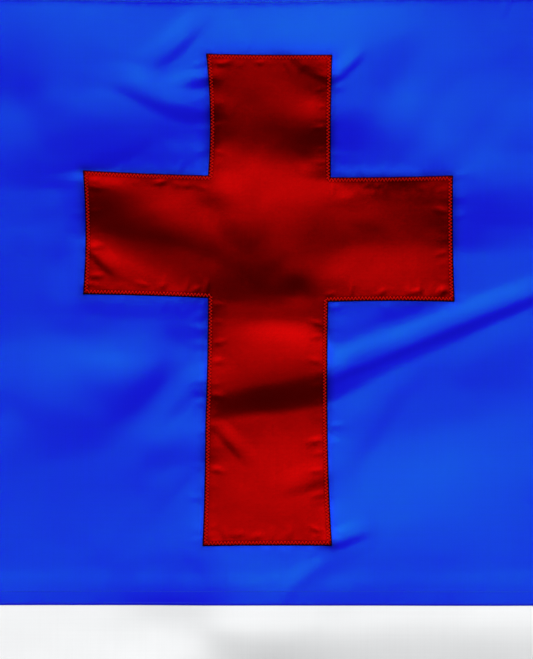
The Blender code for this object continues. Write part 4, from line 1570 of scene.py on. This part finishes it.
class StitchSettings(bpy.types.PropertyGroup):
    """The thread and its stitches"""

    thread: length_setting("Thread", "Radius of the sewing thread", 0.0002)
    under_thread: length_setting("Under thread", "Radius of the thread on the back", 0.00012)
    zigzag_pitch: length_setting("Zigzag pitch", "Length of one zigzag", 0.0025)
    zigzag_width: length_setting("Zigzag width", "Distance between the zigzag's two sides", 0.0024)
    zigzag_inset: length_setting("Zigzag inset", "From the cross's edge to the zigzag's middle", 0.0020)
    stitch_pitch: length_setting("Stitch pitch", "Length of one straight stitch", 0.0030)
    red_thread: colour_setting("Red thread", "Thread round the cross", (0.60, 0.006, 0.003))
    blue_thread: colour_setting("Blue thread", "Thread in the canton's hem and seams", (0.02, 0.05, 0.55))
    white_thread: colour_setting("White thread", "Thread in the white field", (0.80, 0.80, 0.79))


class HoistSettings(bpy.types.PropertyGroup):
    """The heading and its grommets"""

    canvas_thickness: length_setting("Canvas", "Thickness of the heading's tape", 0.0007)
    hole: length_setting("Grommet hole", "Radius of a grommet's hole", 0.00475)
    barrel: length_setting("Grommet barrel", "Radius of a grommet's barrel outside", 0.0054)
    flange: length_setting("Grommet flange", "Radius of a grommet's flange", 0.0088)
    canvas: colour_setting("Canvas colour", "Colour of the heading", (0.74, 0.72, 0.66))
    brass: colour_setting("Brass colour", "Colour of the grommets", (0.72, 0.50, 0.19))


class StudioSettings(bpy.types.PropertyGroup):
    """The floor, lights and camera"""

    floor: colour_setting("Floor", "Colour of the floor", (0.72, 0.72, 0.72))
    key_strength: strength_setting("Key", "Strength of the main light", 4.1)
    key_elevation: angle_setting("Key elevation", "Main light above the horizon", 58)
    key_turn: angle_setting("Key turn", "Main light's turn from straight up the flag", -6)
    key_softness: angle_setting("Key softness", "Width of the main light", 50)
    fill_strength: strength_setting("Fill", "Strength of the fill light", 0.08)
    surround: strength_setting("Surround", "Strength of the light from all round", 0.02)


# The panels


def edge_lines(edge, way):
    """The grid lines at an edge and close inside it, all but the last. way, 1 or -1, leads inwards."""
    return [edge] + [edge + way * step for step in EDGE_LINES[:-1]]


def hemmed_lines(start, end, cell, hem):
    """Grid lines from start to a hemmed edge at end, closer at the hem's step and at the edge."""
    way = 1 if end > start else -1
    lines = lines_through(
        start,
        (end - way * hem, cell),
        (end - way * (hem - STEP_WIDTH), STEP_WIDTH / 2),
        (end - way * EDGE_LINES[-1], cell),
    )
    return lines + edge_lines(end, -way)[::-1]


def canton_lines(hem_y):
    """The canton's grid lines across and up, finest over the cross and the creases beside it."""
    across = lines_through(
        PANEL_EDGE_X,
        (CROSS_LEFT - FINE_MARGIN, CANTON_CELL),
        (CROSS_RIGHT + CREASE_MARGIN, FINE_CELL),
        (LAP_X, CANTON_CELL),
        (CANTON_EDGE_X - EDGE_LINES[-1], FIELD_CELL),
    )
    up = lines_through(
        SEAM_Y + EDGE_LINES[-1],
        (SEAM_Y + LAP, FIELD_CELL),
        (CROSS_FOOT - FINE_MARGIN, CANTON_CELL),
        (CROSS_TOP + FINE_MARGIN, FINE_CELL),
        (hem_y, CANTON_CELL),
        (hem_y + STEP_WIDTH, STEP_WIDTH / 2),
        (TOP_Y - EDGE_LINES[-1], FIELD_CELL),
    )
    across += edge_lines(CANTON_EDGE_X, -1)[::-1]
    return across, edge_lines(SEAM_Y, 1) + up + edge_lines(TOP_Y, -1)[::-1]


def in_lap(turned):
    """Whether a point that far in from a panel's turned edge is in its lap, where the cloth is double."""
    return (turned < LAP) & (turned > EDGE_LINES[0] / 2)


class FLAG_OT_canton(bpy.types.Operator):
    """The blue canton, gathered round the cross and turned under at its seams"""

    bl_idname = "flag.canton"
    bl_label = "Canton"

    def execute(self, context):
        clear("canton_cloth")

        def double(x, y):
            turned = np.minimum(y - SEAM_Y, CANTON_EDGE_X - x)
            return (hemmed(x, y) > 0.5) & (turned > 0) | in_lap(turned)

        across, up = canton_lines(TOP_Y - context.scene.flag_cloth.hem_width)
        blue = finish("blue nylon")
        # Painted shade goes on the canton beside the cross
        sheet = cloth_sheet(
            "canton_cloth", across, up, canton_stack, blue, double, rim=canton_painted_shade
        )
        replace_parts(sheet, "canton")
        return {"FINISHED"}


class FLAG_OT_fields(bpy.types.Operator):
    """The two white panels, hemmed at the top, foot and fly"""

    bl_idname = "flag.fields"
    bl_label = "White Field"

    def execute(self, context):
        cloth = context.scene.flag_cloth
        white = finish("white nylon")
        clear("field_lower_cloth")
        clear("field_upper_cloth")

        def double(x, y):
            edge, in_hem = from_outer_edge(x, y)
            return (in_hem > STEP_WIDTH / 2) & (edge > EDGE_LINES[0] / 2)

        def double_or_lap(x, y):
            return double(x, y) | in_lap(np.minimum(y - SEAM_Y, x - LAP_X))

        def in_lower_field(x, y):
            return y <= SEAM_Y or x >= TRIM_X

        across = lines_through(PANEL_EDGE_X, (MOUTH_X, FIELD_CELL), (TRIM_X, FIELD_CELL))[:-1]
        across += hemmed_lines(TRIM_X, FLY_X, FIELD_CELL, cloth.fly_hem_width)
        down = [SEAM_Y + LAP, SEAM_Y + LAP / 2] + hemmed_lines(SEAM_Y, -TOP_Y, FIELD_CELL, cloth.hem_width)
        lower = cloth_sheet(
            "field_lower_cloth",
            across,
            down[::-1],
            lower_field_stack,
            white,
            double,
            in_lower_field,
        )
        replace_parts(lower, "field_lower")

        across = edge_lines(LAP_X, 1)
        across += hemmed_lines(LAP_X + EDGE_LINES[-1], FLY_X, FIELD_CELL, cloth.fly_hem_width)
        up = edge_lines(SEAM_Y, 1)
        up += hemmed_lines(SEAM_Y + EDGE_LINES[-1], TOP_Y, FIELD_CELL, cloth.hem_width)
        upper = cloth_sheet(
            "field_upper_cloth", across, up, upper_field_stack, white, double_or_lap
        )
        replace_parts(upper, "field_upper")
        return {"FINISHED"}


# The crosses


def square_lines(start, count):
    """The cross's lines along a row of its squares, close together by each square's edges."""
    steps = (*EDGE_LINES, *TURNING_LINES)
    lines = [start]
    for square in range(count):
        low = start + square * ARM
        high = low + ARM
        lines += [low + step for step in steps[:-1]]
        lines += lines_through(low + steps[-1], (high - steps[-1], CROSS_CELL))
        lines += [high - step for step in reversed(steps[:-1])] + [high]
    return lines


class FLAG_OT_crosses(bpy.types.Operator):
    """The two red crosses, front and back, with their edges turned under"""

    bl_idname = "flag.crosses"
    bl_label = "Crosses"

    def execute(self, context):
        cloth = context.scene.flag_cloth
        red = finish("red nylon")
        across = square_lines(CROSS_LEFT, SQUARES_ACROSS)
        up = square_lines(CROSS_FOOT, SQUARES_DOWN)

        def double(x, y):
            depth = np.abs(depth_in_cross(x, y))
            return (depth > EDGE_LINES[0] / 2) & (depth < cloth.cross_turning + STEP_WIDTH / 2)

        for name, node_name, stack, under in (
            ("cross_front_cloth", "cross_front", front_cross_stack, "canton_cloth"),
            ("cross_back_cloth", "cross_back", back_cross_stack, "floor"),
        ):
            clear(name)
            # Painted shade goes on each cross at its edge and under its stitching
            sheet = cloth_sheet(name, across, up, stack, red, double, on_cross, cross_painted_shade)
            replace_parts(sheet, node_name)
        return {"FINISHED"}


# The stitching


def front_cross_surface(x, y):
    return settled(x, y, front_cross_stack(x, y))


def back_cross_underside(x, y):
    cloth = bpy.context.scene.flag_cloth
    return settled(x, y, back_cross_stack(x, y) - cloth.double_thickness)


def zigzag_round_cross(settings):
    """The points where the zigzag turns, from side to side of a line just inside the cross's edge."""
    corners = outline_corners()
    insides = []
    for before, corner, after in zip(corners[-1:] + corners, corners, corners[1:] + corners[:1]):
        arriving = (corner - before).normalized()
        leaving = (after - corner).normalized()
        inward = Vector((arriving.y, -arriving.x)) + Vector((leaving.y, -leaving.x))
        insides.append(corner + settings.zigzag_inset * inward)
    points = []
    for start, end in zip(insides, insides[1:] + insides[:1]):
        ahead = (end - start).normalized()
        inward = Vector((ahead.y, -ahead.x))
        turns = 2 * round((end - start).length / settings.zigzag_pitch)
        for step in range(turns):
            side = 0.5 if step % 2 else -0.5
            points.append(start.lerp(end, step / turns) + side * settings.zigzag_width * inward)
    return np.array([tuple(point) for point in points])


class FLAG_OT_cross_stitching(bpy.types.Operator):
    """The zigzag that sews down the edge of each cross"""

    bl_idname = "flag.cross_stitching"
    bl_label = "Cross Stitching"

    def execute(self, context):
        starts = zigzag_round_cross(context.scene.flag_stitches)
        ends = np.roll(starts, -1, axis=0)
        red = finish("red thread")
        sew("zigzag_front", starts, ends, front_cross_surface, red, sides=6)
        sew("zigzag_back", starts, ends, back_cross_underside, red, below=True, sides=6)
        return {"FINISHED"}


def top_cloth_surface(x, y):
    """The top of whichever cloth is uppermost there, away from the cross."""
    in_canton = (y > SEAM_Y) & (x < CANTON_EDGE_X)
    stack = np.where(y > SEAM_Y, upper_field_stack(x, y), lower_field_stack(x, y))
    return settled(x, y, np.where(in_canton, canton_stack(x, y), stack))


def low_cloth_underside(x, y):
    """The underside of whichever cloth is lowest there, at a hem or a lap."""
    cloth = bpy.context.scene.flag_cloth
    over = y > SEAM_Y + LAP
    stack = np.where(over, upper_field_stack(x, y), lower_field_stack(x, y))
    in_canton = over & (x < LAP_X)
    stack = np.where(in_canton, canton_stack(x, y), stack)
    at_hem = hemmed(x, y) > 0.5
    return settled(x, y, stack - np.where(at_hem, cloth.double_thickness, cloth.nylon_thickness))


def seam_rows(cloth):
    """The ends of each row of lockstitch, by the colour of its thread."""
    rows = {"white": [], "blue": []}
    for inset in (HEM_INSET, cloth.hem_width - FOLD_INSET):
        rows["blue"].append(((MOUTH_X, TOP_Y - inset), (CANTON_EDGE_X, TOP_Y - inset)))
        rows["white"].append(((CANTON_EDGE_X, TOP_Y - inset), (FLY_X - HEM_INSET, TOP_Y - inset)))
        rows["white"].append(((MOUTH_X, -TOP_Y + inset), (FLY_X - HEM_INSET, -TOP_Y + inset)))
    fly_step = (cloth.fly_hem_width - 2 * HEM_INSET) / (FLY_ROWS - 1)
    for row in range(FLY_ROWS):
        x = FLY_X - HEM_INSET - row * fly_step
        rows["white"].append(((x, -TOP_Y + HEM_INSET), (x, TOP_Y - HEM_INSET)))
    for inset in (HEM_INSET, LAP - HEM_INSET):
        x, y = CANTON_EDGE_X - inset, SEAM_Y + inset
        rows["blue"].append(((MOUTH_X, y), (CANTON_EDGE_X - HEM_INSET, y)))
        rows["blue"].append(((x, SEAM_Y + HEM_INSET), (x, TOP_Y - HEM_INSET)))
        rows["white"].append(((CANTON_EDGE_X, y), (FLY_X - HEM_INSET, y)))
    return rows


class FLAG_OT_seam_stitching(bpy.types.Operator):
    """The rows of lockstitch in the hems and seams, front and back"""

    bl_idname = "flag.seam_stitching"
    bl_label = "Seam Stitching"

    def execute(self, context):
        scene = context.scene
        for colour, rows in seam_rows(scene.flag_cloth).items():
            starts, ends = straight_rows(rows, scene.flag_stitches.stitch_pitch)
            material, slot, name = finish(f"{colour} thread"), f"{colour}_nylon", f"seam_stitches_{colour}"
            sew(f"{name}_front", starts, ends, top_cloth_surface, material)
            sew(f"{name}_back", starts, ends, low_cloth_underside, material, below=True)
        return {"FINISHED"}


# The heading


def tape_section():
    """The middle line of the folded tape, x from the hoist and z, from its lower edge round to the upper."""
    middle_z = (LOWER_LEAF + UPPER_LEAF) / 2
    section = [(HEADING_WIDTH - step, LOWER_LEAF) for step in LOWER_EDGE_LINES]
    section += [(x, LOWER_LEAF) for x in reversed(SPINE_LINES)]
    for degrees in range(BEND_FROM, BEND_TO - 1, -BEND_STEP):
        angle = radians(degrees)
        section.append((BEND_TURN + BEND_OUT + BEND_TURN * cos(angle), middle_z + BEND_TURN * sin(angle)))
    section += [(x, UPPER_LEAF) for x in SPINE_LINES]
    for step in range(SLOPE_STEPS + 1):
        share = step / SLOPE_STEPS
        section.append((SPINE_WIDTH + POCKET_SLOPE * share, blend(UPPER_LEAF, MOUTH_LEAF, ease(share))))
    section += [(HEADING_WIDTH - step, MOUTH_LEAF) for step in UPPER_EDGE_LINES]
    return section


def tape_waviness(x, y):
    """The slight waves of the tape's upper leaf, most of all towards its edge."""
    loose = ease((x - HOIST_X - SPINE_WIDTH) / HEADING_WIDTH * 2)
    return TAPE_WAVE * loose * lumps_at(y, 0 * y, *TAPE_LUMPS)


def tape_top(x, y):
    """The outer face of the tape's upper leaf there."""
    hoist = bpy.context.scene.flag_hoist
    rise = ease((x - HOIST_X - SPINE_WIDTH) / POCKET_SLOPE)
    height = blend(UPPER_LEAF, MOUTH_LEAF, rise) + hoist.canvas_thickness / 2 + tape_waviness(x, y)
    return np.stack([x, y, height + grommet_lift(x, y)], axis=-1)


def tape_underside(x, y):
    """The outer face of the tape's lower leaf there."""
    hoist = bpy.context.scene.flag_hoist
    return np.stack([x, y, LOWER_LEAF - hoist.canvas_thickness / 2 + grommet_lift(x, y)], axis=-1)


def tape_sheet(section):
    """The tape folded to that section, from end to end of the hoist."""
    lines_y = lines_through(-TOP_Y, (TOP_Y, TAPE_CELL))
    mesh, column, row = grid_mesh("heading_canvas", len(section) - 1, len(lines_y) - 1)
    middle = np.array(section)[column]
    x, y, z = HOIST_X + middle[:, 0], np.array(lines_y)[row], middle[:, 1]
    upper = z > (LOWER_LEAF + UPPER_LEAF) / 2
    z = z + np.where(upper, tape_waviness(x, y), 0.0) + grommet_lift(x, y)
    place_vertices(mesh, np.stack([x, y, z], axis=-1))
    tape = flag_object("heading_canvas", mesh, finish("canvas"))
    thick = tape.modifiers.new("thickness", "SOLIDIFY")
    thick.thickness = bpy.context.scene.flag_hoist.canvas_thickness
    thick.offset = 0
    return tape


def punch_holes(tape, context):
    """Cuts the tape, both leaves, where the barrels of the two grommets pass."""
    radius = context.scene.flag_hoist.barrel + PUNCH_CLEARANCE
    punches = []
    for side in (1, -1):
        shape = bmesh.new()
        bmesh.ops.create_cone(
            shape, cap_ends=True, segments=PUNCH_SIDES, radius1=radius, radius2=radius, depth=PUNCH_LENGTH
        )
        bmesh.ops.translate(shape, verts=shape.verts, vec=(GROMMET_X, side * GROMMET_Y, 0))
        punch = bpy.data.objects.new("punch", mesh_of(shape, "punch"))
        context.scene.collection.objects.link(punch)
        punches.append(punch)
        hole = tape.modifiers.new("hole", "BOOLEAN")
        hole.operation = "DIFFERENCE"
        hole.solver = "EXACT"
        hole.object = punch
    context.view_layer.update()
    whole = tape.data
    tape.data = bpy.data.meshes.new_from_object(tape.evaluated_get(context.evaluated_depsgraph_get()))
    tape.modifiers.clear()
    bpy.data.meshes.remove(whole)
    tape.data.name = "heading_canvas"
    for punch in punches:
        bpy.data.meshes.remove(punch.data)


class FLAG_OT_heading(bpy.types.Operator):
    """The canvas tape folded round the hoist, with its holes and rows of stitching"""

    bl_idname = "flag.heading"
    bl_label = "Heading"

    def execute(self, context):
        clear("heading_canvas")
        section = tape_section()
        tape = tape_sheet(section)
        punch_holes(tape, context)
        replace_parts(tape, "heading")

        rows = [
            ((HOIST_X + x, -TOP_Y + HEADING_ROW_END), (HOIST_X + x, TOP_Y - HEADING_ROW_END))
            for x in HEADING_ROWS
        ]
        starts, ends = straight_rows(rows, context.scene.flag_stitches.stitch_pitch)
        white = finish("white thread")
        sew("heading_stitches_front", starts, ends, tape_top, white)
        sew("heading_stitches_back", starts, ends, tape_underside, white, below=True)
        return {"FINISHED"}


# The grommets


def grommet_section(hoist):
    """The ring's outline as radius and height, round its foot and its barrel and over its crown."""
    section = [(getattr(hoist, start) + outside, z) for start, outside, z in GROMMET_SECTION]
    middle, half = (hoist.hole + hoist.flange) / 2, (hoist.flange - hoist.hole) / 2
    for degrees in range(0, 180 + 1, CROWN_STEP):
        angle = radians(degrees)
        rise = (CROWN_TOP - CROWN_FOOT) * sin(angle) ** CROWN_FULLNESS
        section.append((middle + half * cos(angle), CROWN_FOOT + rise))
    return section


def sort_by_corners(shape):
    """Puts the edges and faces in the same order each run, which spinning a section doesn't."""

    def place(part):
        corners = [vert.index for vert in part.verts]
        return min(corners) * len(shape.verts) + max(corners)

    shape.verts.index_update()
    shape.edges.sort(key=place)
    shape.faces.sort(key=place)


class FLAG_OT_grommets(bpy.types.Operator):
    """The two brass grommets, each a spun ring with a rolled rim"""

    bl_idname = "flag.grommets"
    bl_label = "Grommets"

    def execute(self, context):
        for name, node_name, y in (
            ("grommet_upper_brass", "grommet_upper", GROMMET_Y),
            ("grommet_lower_brass", "grommet_lower", -GROMMET_Y),
        ):
            clear(name)
            ring = bmesh.new()
            verts = [ring.verts.new((r, 0, z)) for r, z in grommet_section(context.scene.flag_hoist)]
            edges = [ring.edges.new(pair) for pair in zip(verts, verts[1:] + verts[:1])]
            bmesh.ops.spin(
                ring,
                geom=verts + edges,
                cent=(0, 0, 0),
                axis=(0, 0, 1),
                angle=tau,
                steps=GROMMET_STEPS,
                use_merge=True,
            )
            sort_by_corners(ring)
            bmesh.ops.recalc_face_normals(ring, faces=ring.faces)
            bmesh.ops.translate(ring, verts=ring.verts, vec=(GROMMET_X, y, 0))
            mesh = mesh_of(ring, name)
            mesh.shade_smooth()
            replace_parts(flag_object(name, mesh, finish("brass")), node_name)
        return {"FINISHED"}


# The studio


def sun(name, strength, softness, elevation, turn):
    """A light from far off, that high and turned that far from straight up the flag."""
    clear(name)
    light = bpy.data.lights.new(name, "SUN")
    light.energy = strength
    light.angle = softness
    lamp = bpy.data.objects.new(name, light)
    bpy.context.scene.collection.objects.link(lamp)
    towards = Vector((cos(elevation) * sin(turn), cos(elevation) * cos(turn), sin(elevation)))
    lamp.location = LAMP_DISTANCE * towards
    lamp.rotation_euler = towards.to_track_quat("Z", "Y").to_euler()


def surround(strength):
    """A world of faint white light, which the camera sees as the backdrop."""
    world = bpy.data.worlds.new("surround")
    world.use_nodes = True
    tree = world.node_tree
    light = tree.nodes["Background"]
    feed(tree, light, {"Color": (1, 1, 1, 1), "Strength": strength})
    backdrop = node(tree, "ShaderNodeBackground", (0, -200), {"Color": BACKDROP})
    seen = node(tree, "ShaderNodeLightPath", (-200, 300)).outputs["Is Camera Ray"]
    values = {0: seen, 1: light.outputs[0], 2: backdrop.outputs[0]}
    either = node(tree, "ShaderNodeMixShader", (250, 0), values)
    feed(tree, tree.nodes["World Output"], {"Surface": either.outputs[0]})
    return world


class FLAG_OT_studio(bpy.types.Operator):
    """The pale floor, the soft lights and the camera straight above the cross"""

    bl_idname = "flag.studio"
    bl_label = "Studio"

    def execute(self, context):
        scene = context.scene
        studio = scene.flag_studio
        clear("floor")
        ground = bmesh.new()
        bmesh.ops.create_grid(ground, x_segments=FLOOR_CELLS, y_segments=FLOOR_CELLS, size=FLOOR_HALF)
        floor = bpy.data.objects.new("floor", mesh_of(ground, "floor"))
        scene.collection.objects.link(floor)
        floor.data.materials.append(finish_of("floor paint", studio.floor, FLOOR_ROUGHNESS)[0])

        sun("key light", studio.key_strength, studio.key_softness, studio.key_elevation, studio.key_turn)
        sun("fill light", studio.fill_strength, FILL_SOFTNESS, FILL_ELEVATION, FILL_TURN)
        scene.world = surround(studio.surround)

        clear("camera")
        lens = bpy.data.cameras.new("camera")
        lens.sensor_fit = "VERTICAL"
        lens.sensor_height = SENSOR
        lens.lens = LENS
        camera = bpy.data.objects.new("camera", lens)
        scene.collection.objects.link(camera)
        camera.location = (VIEW_X, VIEW_Y, CLOTH_MIDDLE + VIEW_HEIGHT * LENS / SENSOR)
        scene.camera = camera
        scene.view_settings.view_transform = "Standard"
        return {"FINISHED"}


# The add-on


class FLAG_PT_pieces(bpy.types.Panel):
    """The flag's pieces, each with the button that makes it"""

    bl_label = "Sewn Flag"
    bl_space_type = "VIEW_3D"
    bl_region_type = "UI"
    bl_category = "Flag"

    def draw(self, context):
        layout = self.layout
        for piece in PIECES:
            layout.operator(piece.bl_idname)
        for group in SETTINGS:
            settings = getattr(context.scene, group)
            box = layout.box()
            for name in settings.__annotations__:
                box.prop(settings, name)


SETTINGS = {
    "flag_cloth": ClothSettings,
    "flag_stitches": StitchSettings,
    "flag_hoist": HoistSettings,
    "flag_studio": StudioSettings,
}
PIECES = (
    FLAG_OT_studio,
    FLAG_OT_fields,
    FLAG_OT_canton,
    FLAG_OT_crosses,
    FLAG_OT_cross_stitching,
    FLAG_OT_seam_stitching,
    FLAG_OT_heading,
    FLAG_OT_grommets,
)


def register():
    for group in SETTINGS.values():
        bpy.utils.register_class(group)
    for name, group in SETTINGS.items():
        setattr(bpy.types.Scene, name, bpy.props.PointerProperty(type=group))
    for piece in (*PIECES, FLAG_PT_pieces):
        bpy.utils.register_class(piece)


def unregister():
    for piece in (FLAG_PT_pieces, *reversed(PIECES)):
        bpy.utils.unregister_class(piece)
    for name in SETTINGS:
        delattr(bpy.types.Scene, name)
    for group in SETTINGS.values():
        bpy.utils.unregister_class(group)


def main():
    register()
    bpy.ops.flag.studio()
    bpy.ops.flag.fields()
    bpy.ops.flag.canton()
    bpy.ops.flag.crosses()
    bpy.ops.flag.cross_stitching()
    bpy.ops.flag.seam_stitching()
    bpy.ops.flag.heading()
    bpy.ops.flag.grommets()


if __name__ == "__main__":
    main()
